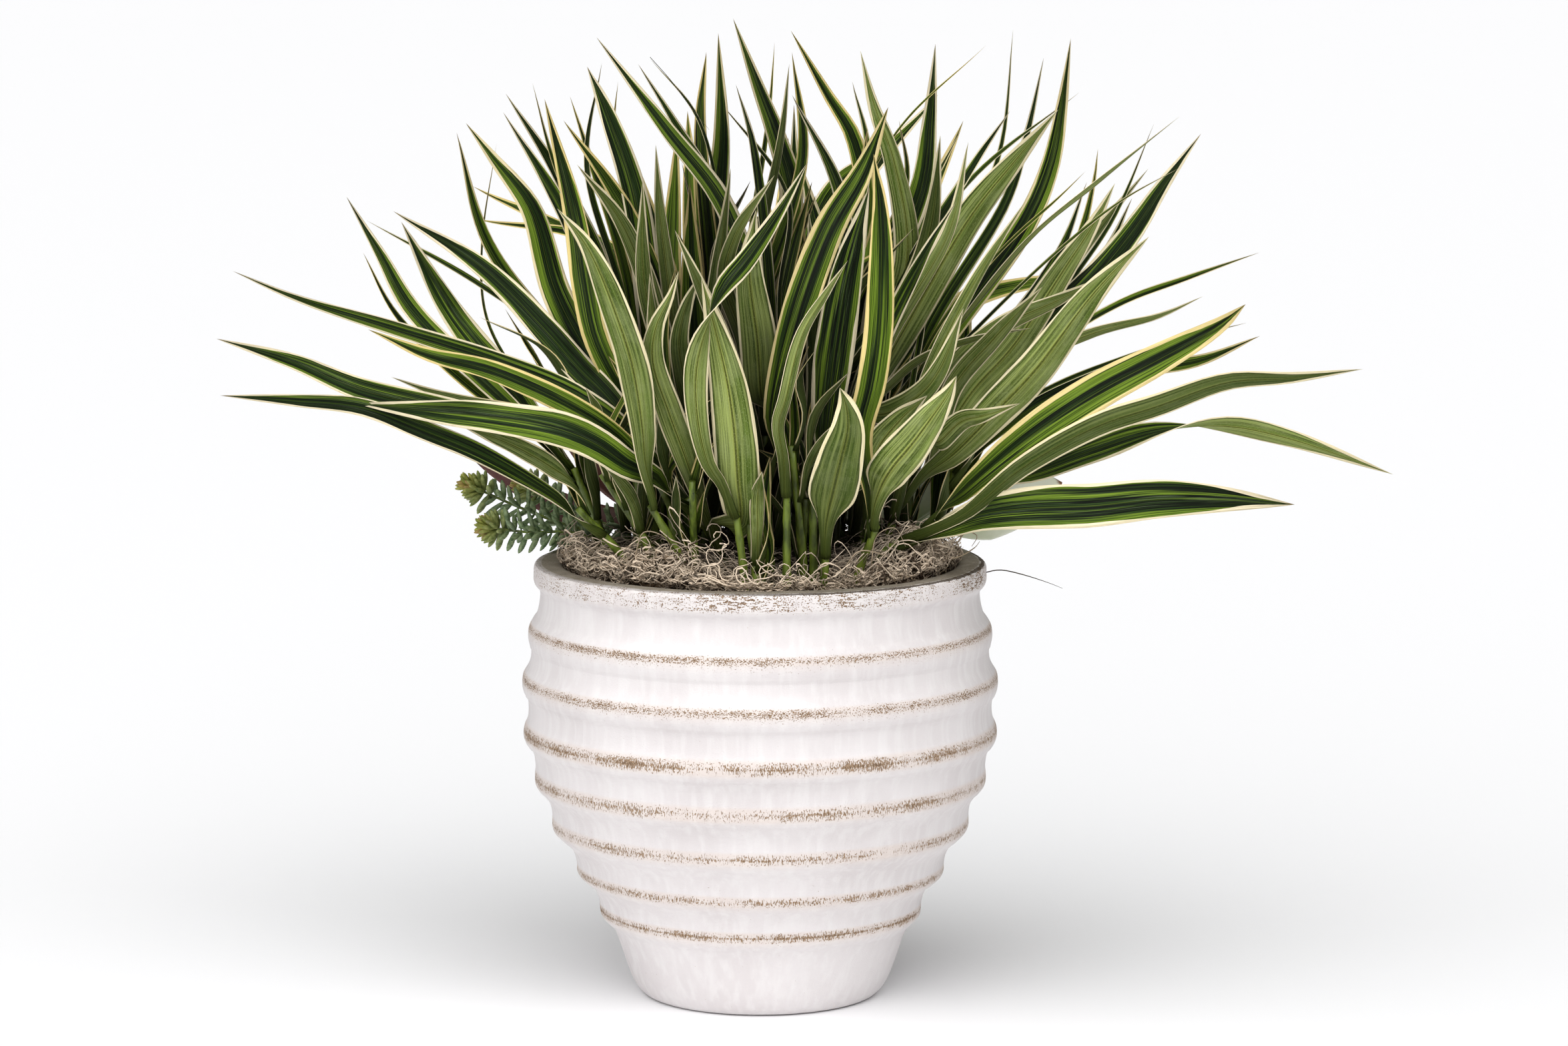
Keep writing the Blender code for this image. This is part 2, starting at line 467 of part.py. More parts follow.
def blade_mesh(spine, shares, normals, width, spare=0.0):
    """Points and faces of a keeled blade, made stouter by the spare size on every side."""
    points, faces = [], []
    last = len(spine) - 1
    for i in range(last):
        along = unit(spine[i + 1] - spine[max(i - 1, 0)])
        side = unit(np.cross(along, normals[i]))
        normal = np.cross(side, along)
        half = blade_width(shares[i], width) / 2
        raised = normal * BLADE_FOLD * 2 * half
        points.append(spine[i] - side * (half + spare) + raised)
        points.append(spine[i] + normal * spare)
        points.append(spine[i] + side * (half + spare) + raised)
        points.append(spine[i] - normal * (BLADE_THICKNESS + spare))
    points.append(spine[last] + unit(spine[last] - spine[last - 1]) * spare)
    for i in range(last - 1):
        left, top, right, keel = (4 * i + k for k in range(4))
        for middle in (top, keel):
            faces += [(left, middle, middle + 4), (left, middle + 4, left + 4)]
            faces += [(right, middle, middle + 4), (right, middle + 4, right + 4)]
    left, top, right, keel = (4 * (last - 1) + k for k in range(4))
    tip = len(points) - 1
    faces += [(left, top, tip), (top, right, tip), (right, keel, tip), (keel, left, tip)]
    faces += [(0, 1, 3), (1, 2, 3)]
    return points, faces


def tree_of(points, faces):
    return BVHTree.FromPolygons([tuple(map(float, p)) for p in points], faces)


def box_of(points):
    points = np.asarray(points)
    return points.min(axis=0), points.max(axis=0)


def boxes_meet(one, other):
    return bool((one[0] <= other[1]).all() and (other[0] <= one[1]).all())


def above_pot(spine, width):
    """Whether a blade stays clear of the moss, the rim, the sedum and the rosettes."""
    for number, (x, y, z) in enumerate(spine):
        away = math.hypot(x, y)
        level = moss_height(x, y) if away < POT_MOUTH - BLADE_FLOOR else POT_RIM_HEIGHT
        if number > 2 and away < RIM_REACH and z < level + BLADE_FLOOR + width * 0.3:
            return False
        for centre, radii in KEEP_CLEAR:
            inside = sum(((value - c) / r) ** 2 for value, c, r in zip((x, y, z), centre, radii))
            if inside < 1:
                return False
    return True


class Planner:
    """Places blades one after another, each clear of the stems and of the blades before it."""

    def __init__(self):
        self.paths = [stem_path(stem) for stem in STEMS]
        self.heights = [[] for _ in STEMS]
        self.blades = [[] for _ in STEMS]
        self.placed = []
        for number, path in enumerate(self.paths):
            points, faces = stem_tube(path)
            tree = tree_of(points, faces)
            self.placed.append((number, box_of(points), tree, tree))

    def free_height(self, stem, wanted):
        """The height nearest to the wanted one where the stem has room for another blade."""
        low, high = self.paths[stem][1][2] + LOWEST_BLADE, self.paths[stem][-1][2] - TOP_MARGIN
        heights = sorted(np.arange(high, low, -BLADE_SPACING / 4), key=lambda z: abs(z - wanted))
        for height in heights:
            if all(abs(height - other) >= BLADE_SPACING for other in self.heights[stem]):
                return height
        return None

    def crosses(self, stem, spine, shares, normals, width):
        """Whether a blade meets another stem's, or its own stem's blades beyond its sheath."""
        fat = blade_mesh(spine, shares, normals, width, CLEARANCE)
        box, whole = box_of(fat[0]), tree_of(*fat)
        outer = tree_of(*blade_mesh(spine[1:], shares[1:], normals[1:], width, GAP))
        for owner, other_box, other_whole, other_outer in self.placed:
            if not boxes_meet(box, other_box):
                continue
            if owner != stem and whole.overlap(other_whole):
                return True
            if owner == stem and (outer.overlap(other_whole) or outer.overlap(other_outer)):
                return True
        return False

    def attempt(self, stem, height, width, turns, reference, lean, course, section):
        """Adds the blade if it is clear of all else."""
        root, along = stem_point(self.paths[stem], height)
        heading = course[0] - root
        heading = unit(heading - along * np.dot(heading, along))
        sheath = root + unit(along + heading * SHEATH_SPREAD) * SHEATH_LENGTH
        course = [root, sheath] + [p for p in course if np.linalg.norm(p - sheath) > PLACE_SPACING]
        length = sum(np.linalg.norm(b - a) for a, b in zip(course, course[1:]))
        sections = min(MOST_SECTIONS, max(3, round((length - SHEATH_LENGTH) / section)))
        if turns[0] != turns[1]:
            sections = TWISTED_SECTIONS
        shares = blade_shares(length, sections)
        spine = smooth_curve(course, shares)
        normals = blade_normals(spine, shares, turns, reference, lean)
        if not above_pot(spine, width) or self.crosses(stem, spine, shares, normals, width):
            return False
        points, faces = blade_mesh(spine, shares, normals, width)
        outer = tree_of(*blade_mesh(spine[1:], shares[1:], normals[1:], width))
        self.placed.append((stem, box_of(points), tree_of(points, faces), outer))
        self.blades[stem].append((points, faces))
        self.heights[stem].append(height)
        return True

    def add_listed(self, blade):
        """A blade from the table, moved nearer or further until it is clear."""
        stem, width, turn, depth = blade[:4]
        turns = turn if isinstance(turn, tuple) else (turn, turn)
        places = list(zip(blade[4::2], blade[5::2]))
        top = self.paths[stem][-1]
        start = top[1] / CM
        lean = 1 if places[-1][0] < STEMS[stem][0] else -1
        stout = width * BLADE_STOUTNESS * CM
        towards_eye = np.array((0.0, -1.0, 0.0))
        for step in range(LISTED_TRIES):
            shift = (step + 1) // 2 * (1 if step % 2 else -1) * DEPTH_STEP
            bow = (step * 5 % 9 - 4) * BOW_STEP
            course = []
            for number, (x, z) in enumerate(places):
                t = (number + 1) / len(places)
                away = start + (depth + shift - start) * t**1.3 + bow * 4 * t * (1 - t)
                course.append(from_front(x, z, away))
            height = self.free_height(stem, min(course[0][2] - SHEATH_LENGTH, top[2]))
            if height is None:
                return
            if self.attempt(stem, height, stout, turns, towards_eye, lean, course, SECTION_LENGTH):
                return

    def add_drawn(self, stem, draw, kind):
        """A blade that arches out from its stem, drawn again until it is clear."""
        top = self.paths[stem][-1]
        low = self.paths[stem][1][2]
        for _ in range(kind["tries"]):
            height = self.free_height(stem, draw.uniform(low, top[2]))
            if height is None:
                return
            outward = math.atan2(top[1], top[0]) + draw.uniform(-kind["fan"], kind["fan"])
            reach, rise = draw.uniform(*kind["reach"]), draw.uniform(*kind["rise"])
            width, droop = draw.uniform(*kind["widths"]), draw.uniform(*kind["droop"])
            roll = draw.uniform(-kind["roll"], kind["roll"])
            heading = np.array((math.cos(outward), math.sin(outward), 0))
            root = stem_point(self.paths[stem], height)[0]
            middle = root + heading * reach * 0.38 + np.array((0, 0, rise * 0.55 + droop * 0.5))
            tip = root + heading * reach + np.array((0, 0, rise - droop))
            crown_reach, crown_rise = kind["crown"]
            if math.hypot(tip[0] / crown_reach, (tip[2] - POT_RIM_HEIGHT) / crown_rise) > 1:
                continue
            if min(middle[1], tip[1]) < FILL_FRONT:
                continue
            reference = np.array((0, 0, 0.8)) - heading * 0.6
            course = [middle, tip]
            if self.attempt(stem, height, width, (roll, roll), reference, 1, course, FILL_SECTION_LENGTH):
                return


def stem_tube(path):
    radii = [STEM_RADIUS, STEM_RADIUS, STEM_RADIUS * 0.95, STEM_TOP_RADIUS * 1.05, STEM_TOP_RADIUS]
    return tube(path, radii, STEM_SIDES)


def make_grass():
    planner = Planner()
    for blade in BLADES:
        planner.add_listed(blade)
    draw = random.Random(FILL_SEED)
    for draws, kind in ((TALL_DRAWS, TALL), (FILL_DRAWS, FILL)):
        for stem, count in draws:
            for _ in range(count):
                planner.add_drawn(stem, draw, kind)
    material = make_material("grass")
    for number, path in enumerate(planner.paths):
        fuse(f"grass_stem_{number:02d}", material, [stem_tube(path)] + planner.blades[number])


def lathe(name, profile, sides, material):
    """A closed turned body from its profile of (radius, height), starting and ending on the axis."""
    points, rows = [], []
    for radius, height in profile:
        if radius == 0:
            rows.append([len(points)])
            points.append((0, 0, height))
            continue
        rows.append(list(range(len(points), len(points) + sides)))
        for k in range(sides):
            angle = 2 * math.pi * (k + 0.5) / sides
            points.append((radius * math.cos(angle), radius * math.sin(angle), height))
    faces = []
    for low, high in zip(rows, rows[1:]):
        for k in range(sides):
            n = (k + 1) % sides
            ring = [low[k % len(low)], low[n % len(low)], high[n % len(high)], high[k % len(high)]]
            faces.append(tuple(dict.fromkeys(ring)))
    return make_object(name, points, faces, material)


def make_pot():
    rim = [(POT_MOUTH + POT_RIM_ROUNDING, POT_RIM_HEIGHT), (POT_MOUTH, POT_RIM_HEIGHT - POT_RIM_ROUNDING)]
    outside = [(radius * CM, height * CM) for radius, height in POT_OUTSIDE]
    inside = [(radius * CM, height * CM) for radius, height in POT_INSIDE]
    profile = [(0, FOOT_LEVEL)] + outside + rim + inside + [(0, POT_INSIDE[-1][1] * CM)]
    return lathe("pot", profile, POT_SIDES, make_material("pot"))


def inside_radius(height):
    """Radius of the pot's inner wall at a height."""
    wall = [(POT_RIM_HEIGHT, POT_MOUTH)] + [(z * CM, radius * CM) for radius, z in POT_INSIDE]
    heights, radii = zip(*reversed(wall))
    return float(np.interp(height, heights, radii))


def cut_holes(obj, holes, floor):
    """Cuts upright holes, each given as x, y, radius and sides, down to the floor."""
    cutters = bpy.data.collections.new(obj.name + "_holes")
    bpy.context.scene.collection.children.link(cutters)
    for number, (x, y, radius, sides) in enumerate(holes):
        path = [(x, y, floor), (x, y, floor + HOLE_CUTTER_HEIGHT)]
        make_object(f"hole_{number}", *tube(path, [radius, radius], sides), None, cutters)
    apply_boolean(obj, cutters, "DIFFERENCE")


def make_filler(holes):
    floor = POT_INSIDE[-1][1] * CM + GAP
    heights = [FILLER_TOP] + [z * CM for _, z in POT_INSIDE[:-1] if z * CM < FILLER_TOP] + [floor]
    profile = [(0, FILLER_TOP)] + [(inside_radius(z) - 2 * GAP, z) for z in heights] + [(0, floor)]
    filler = lathe("filler", profile, POT_SIDES, make_material("filler"))
    cut_holes(filler, holes, STEM_HOLE_FLOOR)
    return filler


def make_moss(holes):
    """A bed with a lumpy top, its edge just inside the pot's mouth."""
    edge = POT_MOUTH - 2 * GAP
    points, rows = [(0, 0, moss_height(0, 0))], [[0]]
    draw = random.Random(MOSS_SEED)
    for ring in range(1, MOSS_RINGS + 1):
        radius = edge * (ring / MOSS_RINGS) ** 0.8
        rows.append(list(range(len(points), len(points) + MOSS_SIDES)))
        for k in range(MOSS_SIDES):
            angle = 2 * math.pi * (k + 0.5 * (ring % 2)) / MOSS_SIDES  # the edge lines up with the pot's
            x, y = radius * math.cos(angle), radius * math.sin(angle)
            lump = draw.uniform(-MOSS_LUMP, MOSS_LUMP) if ring < MOSS_RINGS else 0
            points.append((x, y, moss_height(x, y) + lump))
    rows.append(list(range(len(points), len(points) + MOSS_SIDES)))
    for index in rows[-2]:
        points.append((points[index][0], points[index][1], MOSS_UNDERSIDE))
    rows.append([len(points)])
    points.append((0, 0, MOSS_UNDERSIDE))
    faces = []
    for low, high in zip(rows, rows[1:]):
        for k in range(MOSS_SIDES):
            n = (k + 1) % MOSS_SIDES
            ring = [low[k % len(low)], low[n % len(low)], high[n % len(high)], high[k % len(high)]]
            faces.append(tuple(dict.fromkeys(ring)))
    moss = make_object("moss", points, faces, make_material("moss"))
    cut_holes(moss, holes, STEM_HOLE_FLOOR)
    return moss


def spindle(root, direction, length, thickness, roll):
    """A small fat three-sided leaf."""
    side = unit(np.cross(direction, (0.3, 0.2, 1.0)))
    other = np.cross(direction, side)
    points = [root]
    for k in range(3):
        angle = roll + math.pi * 2 / 3 * k
        around = math.cos(angle) * side + math.sin(angle) * other
        points.append(root + direction * length * 0.58 + around * thickness / 2)
    points.append(root + direction * length)
    faces = []
    for k in range(3):
        n = (k + 1) % 3
        faces += [(0, 1 + n, 1 + k), (4, 1 + k, 1 + n)]
    return points, faces


def sedum_leaves(path, draw):
    """Fat leaves in turning whorls along a stem, crowding into a head at its end."""
    length, thickness = SEDUM_LEAF
    fine = smooth_curve(path, np.linspace(0, 1, 61))
    pieces = []
    for whorl in range(SEDUM_WHORLS + SEDUM_HEAD_WHORLS):
        count, rise = SEDUM_WHORL_LEAVES, 0.5
        share = SEDUM_LEAFY_FROM + (SEDUM_HEAD_FROM - SEDUM_LEAFY_FROM) * whorl / SEDUM_WHORLS
        in_head = whorl - SEDUM_WHORLS
        if in_head >= 0:
            count, rise = SEDUM_HEAD_LEAVES, 0.86 + 0.36 * in_head
            share = SEDUM_HEAD_FROM + (1 - SEDUM_HEAD_FROM) * in_head / (SEDUM_HEAD_WHORLS - 1)
        step = round(60 * share)
        along = unit(fine[min(step + 1, 60)] - fine[step - 1])
        side = unit(np.cross(along, (0, 0, 1)))
        other = np.cross(side, along)
        for leaf in range(count):
            angle = whorl * 1.1 + leaf * 2 * math.pi / count + draw.uniform(-0.3, 0.3)
            aim = unit(math.cos(angle) * side + math.sin(angle) * other + along * rise)
            size = length * draw.uniform(*SEDUM_LEAF_SIZES)
            pieces.append(spindle(fine[step], aim, size, thickness, draw.uniform(0, 1.5)))
    return pieces


def make_sedum():
    material = make_material("sedum")
    draw = random.Random(SEDUM_SEED)
    for number, (root_x, root_y, *course) in enumerate(SEDUM_SPRAYS):
        x, y = root_x * CM, root_y * CM
        start = np.array((x, y, moss_height(x, y) + UPRIGHT_RISE))
        places = [start, start + (0, 0, 2 * UPRIGHT_RISE)] + [from_front(*place) for place in course]
        above = smooth_curve(places, np.linspace(0, 1, 7))
        path = [np.array((x, y, STEM_HOLE_FLOOR + GAP))] + list(above)
        stem = tube(path, [SEDUM_STEM_RADIUS] * len(path), SEDUM_STEM_SIDES)
        fuse(f"sedum_spray_{number + 1}", material, [stem] + sedum_leaves(above, draw))


def fleshy_leaf(root, tip, width, thickness, widest, roll):
    """A thick pointed leaf that curves up from its root to its tip, rolled about its length."""
    rise = np.array((0, 0, 0.16 * np.linalg.norm(tip - root)))
    shares = (0, 0.25, 0.5, 0.72, 0.9, 1)
    spine = smooth_curve([root, root * 0.55 + tip * 0.45 - rise * 0.7, tip], shares)
    points, faces = [], []
    for i, share in enumerate(shares[:-1]):
        along = unit(spine[i + 1] - spine[max(i - 1, 0)])
        flat = unit(np.cross(along, (0, 0, 1)))
        up = np.cross(flat, along)
        angle = math.radians(roll) * min(1, share * 2)
        side = math.cos(angle) * flat + math.sin(angle) * up
        normal = np.cross(side, along)
        reach = share / widest if share < widest else (1 - share) / (1 - widest)
        half = width / 2 * (0.3 + 0.7 * math.sin(math.pi / 2 * reach) ** 0.8)
        points.append(spine[i] - side * half + normal * half * 0.25)
        points.append(spine[i] + normal * thickness * 0.15)
        points.append(spine[i] + side * half + normal * half * 0.25)
        points.append(spine[i] - normal * thickness * (0.5 + 0.5 * reach))
    points.append(spine[-1])
    last = 4 * (len(shares) - 2)
    for left in range(0, last, 4):
        for middle in (left + 1, left + 3):
            faces += [(left, middle, middle + 4), (left, middle + 4, left + 4)]
            faces += [(left + 2, middle, middle + 4), (left + 2, middle + 4, left + 6)]
    left, top, right, keel = (last + k for k in range(4))
    tip_index = last + 4
    faces += [(left, top, tip_index), (top, right, tip_index)]
    faces += [(right, keel, tip_index), (keel, left, tip_index), (0, 1, 3), (1, 2, 3)]
    return points, faces


def make_rosette(name, colour, rosette):
    root_x, root_y, width, thickness, widest, leaves = rosette
    x, y = root_x * CM, root_y * CM
    level = moss_height(x, y)
    low = np.array((x, y, STEM_HOLE_FLOOR + GAP))
    path = [low, np.array((x, y, level + UPRIGHT_RISE)), np.array((x, y, level + ROSETTE_TOP_RISE))]
    radii = [ROSETTE_STEM_RADIUS, ROSETTE_STEM_RADIUS, ROSETTE_HEART_RADIUS]
    pieces = [tube(path, radii, ROSETTE_STEM_SIDES)]
    heart = np.array((x, y, level + ROSETTE_HEART_RISE))
    for tip_x, tip_z, depth, roll in leaves:
        tip = from_front(tip_x, tip_z, depth)
        pieces.append(fleshy_leaf(heart, tip, width * CM, thickness * CM, widest, roll))
    fuse(name, make_material(colour), pieces)


def stem_holes():
    """Every upright hole that the stems stand in: x, y, radius and sides."""
    stands = [(stem[0], stem[1], STEM_RADIUS, STEM_SIDES) for stem in STEMS]
    stands += [(spray[0], spray[1], SEDUM_STEM_RADIUS, SEDUM_STEM_SIDES) for spray in SEDUM_SPRAYS]
    for rosette in (PALE_ROSETTE, MAROON_ROSETTE):
        stands.append((rosette[0], rosette[1], ROSETTE_STEM_RADIUS, ROSETTE_STEM_SIDES))
    return [(x * CM, y * CM, radius + HOLE_CLEARANCE, sides) for x, y, radius, sides in stands]


def stand_on_foot():
    for obj in bpy.data.objects:
        obj.data.transform(Matrix.Translation((0, 0, -FOOT_LEVEL)))


def main():
    clear_scene()
    make_pot()
    make_filler(stem_holes())
    make_moss(stem_holes())
    make_grass()
    make_sedum()
    make_rosette("pale_rosette", "pale", PALE_ROSETTE)
    make_rosette("maroon_rosette", "maroon", MAROON_ROSETTE)
    stand_on_foot()


main()
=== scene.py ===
# Variegated grass, moss, sedum and two rosettes in a ribbed pot: the looks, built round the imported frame.
# Metres, +Z up, the front towards -Y. Tables of places are in centimetres, as the front view shows them.
import math
import random

import bmesh
import bpy
import numpy as np
from mathutils.bvhtree import BVHTree
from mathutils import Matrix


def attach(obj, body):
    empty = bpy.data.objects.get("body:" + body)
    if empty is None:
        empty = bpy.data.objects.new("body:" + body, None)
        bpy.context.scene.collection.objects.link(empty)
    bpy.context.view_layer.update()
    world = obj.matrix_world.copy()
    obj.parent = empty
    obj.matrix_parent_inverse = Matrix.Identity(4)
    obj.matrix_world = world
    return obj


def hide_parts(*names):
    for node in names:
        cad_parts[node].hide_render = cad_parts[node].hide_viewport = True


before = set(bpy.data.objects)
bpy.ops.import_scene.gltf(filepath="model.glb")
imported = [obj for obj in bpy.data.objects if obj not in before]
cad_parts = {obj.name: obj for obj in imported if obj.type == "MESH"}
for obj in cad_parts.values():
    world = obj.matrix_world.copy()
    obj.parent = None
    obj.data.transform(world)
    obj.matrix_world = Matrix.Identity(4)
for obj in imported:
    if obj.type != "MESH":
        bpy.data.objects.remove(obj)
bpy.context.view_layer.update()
cm = 0.01
gap = 0.0003
eye = np.array((0.018, -3.8, 0.895))  # where the front view is seen from
footLevel = np.array((0, 0, 0.006))  # heights count from this far below the foot until a piece is finished
print("frame loaded")


class Wire:  # a socket in a sum: each operator adds a Math node
    def __init__(self, recipe, socket):
        self.recipe = recipe
        self.socket = socket

    def __add__(self, other):
        return self.recipe.maths("ADD", self, other)

    def __sub__(self, other):
        return self.recipe.maths("SUBTRACT", self, other)

    def __rsub__(self, other):
        return self.recipe.maths("SUBTRACT", other, self)

    def __mul__(self, other):
        return self.recipe.maths("MULTIPLY", self, other)

    __radd__ = __add__
    __rmul__ = __mul__


class Recipe:  # one material, whose nodes all come from add
    def __init__(self, name, fixed):
        self.material = bpy.data.materials.new(name)
        self.material.use_nodes = True
        self.tree = self.material.node_tree
        self.shader = self.tree.nodes["Principled BSDF"]
        self.finish(fixed)

    def feed(self, socket, value):
        if isinstance(value, Wire):
            self.tree.links.new(value.socket, socket)
        else:
            socket.default_value = value

    def add(self, kind, settings, sockets, output=0):
        node = self.tree.nodes.new("ShaderNode" + kind)
        for name, value in settings.items():
            setattr(node, name, value)
        for name, value in sockets.items():
            self.feed(node.inputs[name], value)
        return Wire(self, node.outputs[output])

    def maths(self, operation, *values):
        return self.add("Math", {"operation": operation}, dict(enumerate(values)))

    def mix(self, share, *tones):  # from one colour to the other: each a socket, or red, green and blue
        one, other = (tone if isinstance(tone, Wire) else shade(*tone) for tone in tones)
        return self.add("Mix", {"data_type": "RGBA"}, {0: share, 6: one, 7: other}, 2)

    def coats(self, colour, *layers):  # each layer's colour covers its share of what lies below
        for share, tone in layers:
            colour = self.mix(share, colour, tone)
        return colour

    def blend(self, value, low, high, one, other):  # from one colour to the other as the value rises
        return self.mix(self.rise(value, low, high), one, other)

    def rise(self, value, low, high):  # 0 up to low, 1 from high on
        limits = {"Value": value, "From Min": low, "From Max": high}
        return self.add("MapRange", {"interpolation_type": "SMOOTHSTEP"}, limits)

    def spot(self, x, y, z):
        return self.add("CombineXYZ", {}, {0: x, 1: y, 2: z})

    def part(self, vector, axis):
        return self.add("SeparateXYZ", {}, {0: vector}, axis)

    def place(self, scale=(1, 1, 1)):  # object coordinates, stretched
        own = self.add("TexCoord", {}, {}, 3)
        return self.add("VectorMath", {"operation": "MULTIPLY"}, {0: own, 1: scale})

    def noise(self, place, scale, detail=2.0):
        return self.add("TexNoise", {}, {"Vector": place, "Scale": scale, "Detail": detail})

    def mark(self, name):  # a value painted on the mesh
        return self.add("Attribute", {"attribute_name": name}, {}, 2)

    def bump(self, height, distance):
        return self.add("Bump", {}, {"Height": height, "Distance": distance})

    def leafPlace(self):  # u across a leaf, v along it, and how far out from its middle
        flat = self.add("UVMap", {"uv_map": "UVMap"}, {})
        u, v = self.part(flat, 0), self.part(flat, 1)
        return u, v, self.maths("ABSOLUTE", u * 2 - 1)

    def finish(self, sockets):
        for name, value in sockets.items():
            self.feed(self.shader.inputs[name], value)


def shade(red, green, blue):  # a colour as a screen shows it
    linear = [((c / 255 + 0.055) / 1.055) ** 2.4 if c > 10 else c / 3295 for c in (red, green, blue)]
    return (*linear, 1)


def unit(vector):
    return vector / np.linalg.norm(vector)


def unitRows(vectors):
    return vectors / np.linalg.norm(vectors, axis=1)[:, None]


def smooth(share):  # eases a share from 0 to 1
    return share * share * (3 - 2 * share)


def readAt(shares, rows, *tables):  # each table of points, read at these shares of its rows
    return [np.column_stack([np.interp(shares, rows, table[:, k]) for k in range(3)]) for table in tables]


def startPiece():
    if bpy.context.object and bpy.context.object.mode != "OBJECT":
        bpy.ops.object.mode_set(mode="OBJECT")
    bpy.ops.object.select_all(action="DESELECT")


def primitive(operator, **settings):  # a new primitive, selected alone, with its place in its mesh
    startPiece()
    operator(**settings)
    bpy.ops.object.transform_apply(location=True, rotation=False, scale=False)
    return bpy.context.object


def pick(piece, kind, wanted):  # in edit mode: selects the wanted vertices or edges alone
    bpy.ops.mesh.select_mode(type=kind)
    mesh = bmesh.from_edit_mesh(piece.data)
    items = {"VERT": mesh.verts, "EDGE": mesh.edges}[kind]
    for item in items:
        item.select_set(False)
    for item in items:
        if wanted(item):
            item.select_set(True)
    mesh.select_flush_mode()
    bmesh.update_edit_mesh(piece.data)


def applyModifier(piece, kind, settings):
    bpy.context.view_layer.objects.active = piece
    modifier = piece.modifiers.new(kind.lower(), kind)
    for name, value in settings.items():
        setattr(modifier, name, value)
    bpy.ops.object.modifier_apply(modifier=modifier.name)


def copyOf(master):
    copy = master.copy()
    copy.data = master.data.copy()
    bpy.context.scene.collection.objects.link(copy)
    return copy


def discard(*masters):
    for master in masters:
        bpy.data.objects.remove(master)


def pointsOf(piece):
    points = np.empty(len(piece.data.vertices) * 3)
    piece.data.vertices.foreach_get("co", points)
    return points.reshape(-1, 3)


def movePoints(piece, points):
    piece.data.vertices.foreach_set("co", np.asarray(points, float).ravel())
    piece.data.update()


def paint(piece, name, values):  # one number for each point of the mesh
    known = piece.data.attributes
    painted = known[name] if name in known else known.new(name, "FLOAT", "POINT")
    painted.data.foreach_set("value", np.broadcast_to(values, len(piece.data.vertices)).astype(float))


# Painted shade in the heart of the plant: how dark its middle is painted, and how fast that fades outwards
heart = {"depth": 1.6, "fade": 1.2}


def paintShade(piece, reach, rise, behind):  # painted shade: how deep inside the plant each point lies, darker the deeper
    points = pointsOf(piece)
    away = np.hypot(points[:, 0], points[:, 1] - behind) / reach
    high = np.maximum(points[:, 2] - pot["rimHeight"], 0) / rise
    paint(piece, "heart", np.clip(heart["depth"] - np.hypot(away, high) * heart["fade"], 0, 1))


def joined(name, pieces):
    startPiece()
    for piece in pieces:
        piece.select_set(True)
    bpy.context.view_layer.objects.active = pieces[0]
    if len(pieces) > 1:
        bpy.ops.object.join()
    whole = pieces[0]
    whole.name = name
    whole.data.name = name
    whole.data.shade_smooth()
    return whole


def finished(piece, slot, *nodes):
    movePoints(piece, pointsOf(piece) - footLevel)
    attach(piece, "root")
    if nodes:
        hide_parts(*nodes)


def fromFront(x, z, depth):  # the point at this depth that the eye sees at x, z
    seen = np.array((x * cm, 0, z * cm))
    return eye + (seen - eye) * (1 - depth * cm / eye[1])


def smoothCurve(points, shares):  # points at these shares of a smooth curve's length
    points = np.asarray(points, float)
    points = np.vstack((2 * points[0] - points[1], points, 2 * points[-1] - points[-2]))
    steps = np.linalg.norm(np.diff(points, axis=0), axis=1) ** 0.5
    knots = np.concatenate(([0], np.cumsum(steps)))
    curve = []
    for i in range(1, len(points) - 2):
        before, start, end, after = points[i - 1 : i + 3]
        a, b, c, d = knots[i - 1 : i + 3]
        across = (end - start) / (c - b)
        leave = (c - b) * ((start - before) / (b - a) - (end - before) / (c - a) + across)
        arrive = (c - b) * (across - (after - start) / (d - b) + (after - end) / (d - c))
        for t in np.linspace(0, 1, 12, endpoint=False):
            curve.append(
                (2 * t**3 - 3 * t**2 + 1) * start
                + (t**3 - 2 * t**2 + t) * leave
                + (3 * t**2 - 2 * t**3) * end
                + (t**3 - t**2) * arrive
            )
    curve = np.array(curve + [points[-2]])
    run = np.concatenate(([0], np.cumsum(np.linalg.norm(np.diff(curve, axis=0), axis=1))))
    at = np.asarray(shares) * run[-1]
    return readAt(at, run, curve)[0]


def alongOf(spine):  # the direction of a row of points at each of them
    ahead = np.vstack((spine[1:], spine[-1:]))
    behind = np.vstack((spine[:1], spine[:-1]))
    return unitRows(ahead - behind)


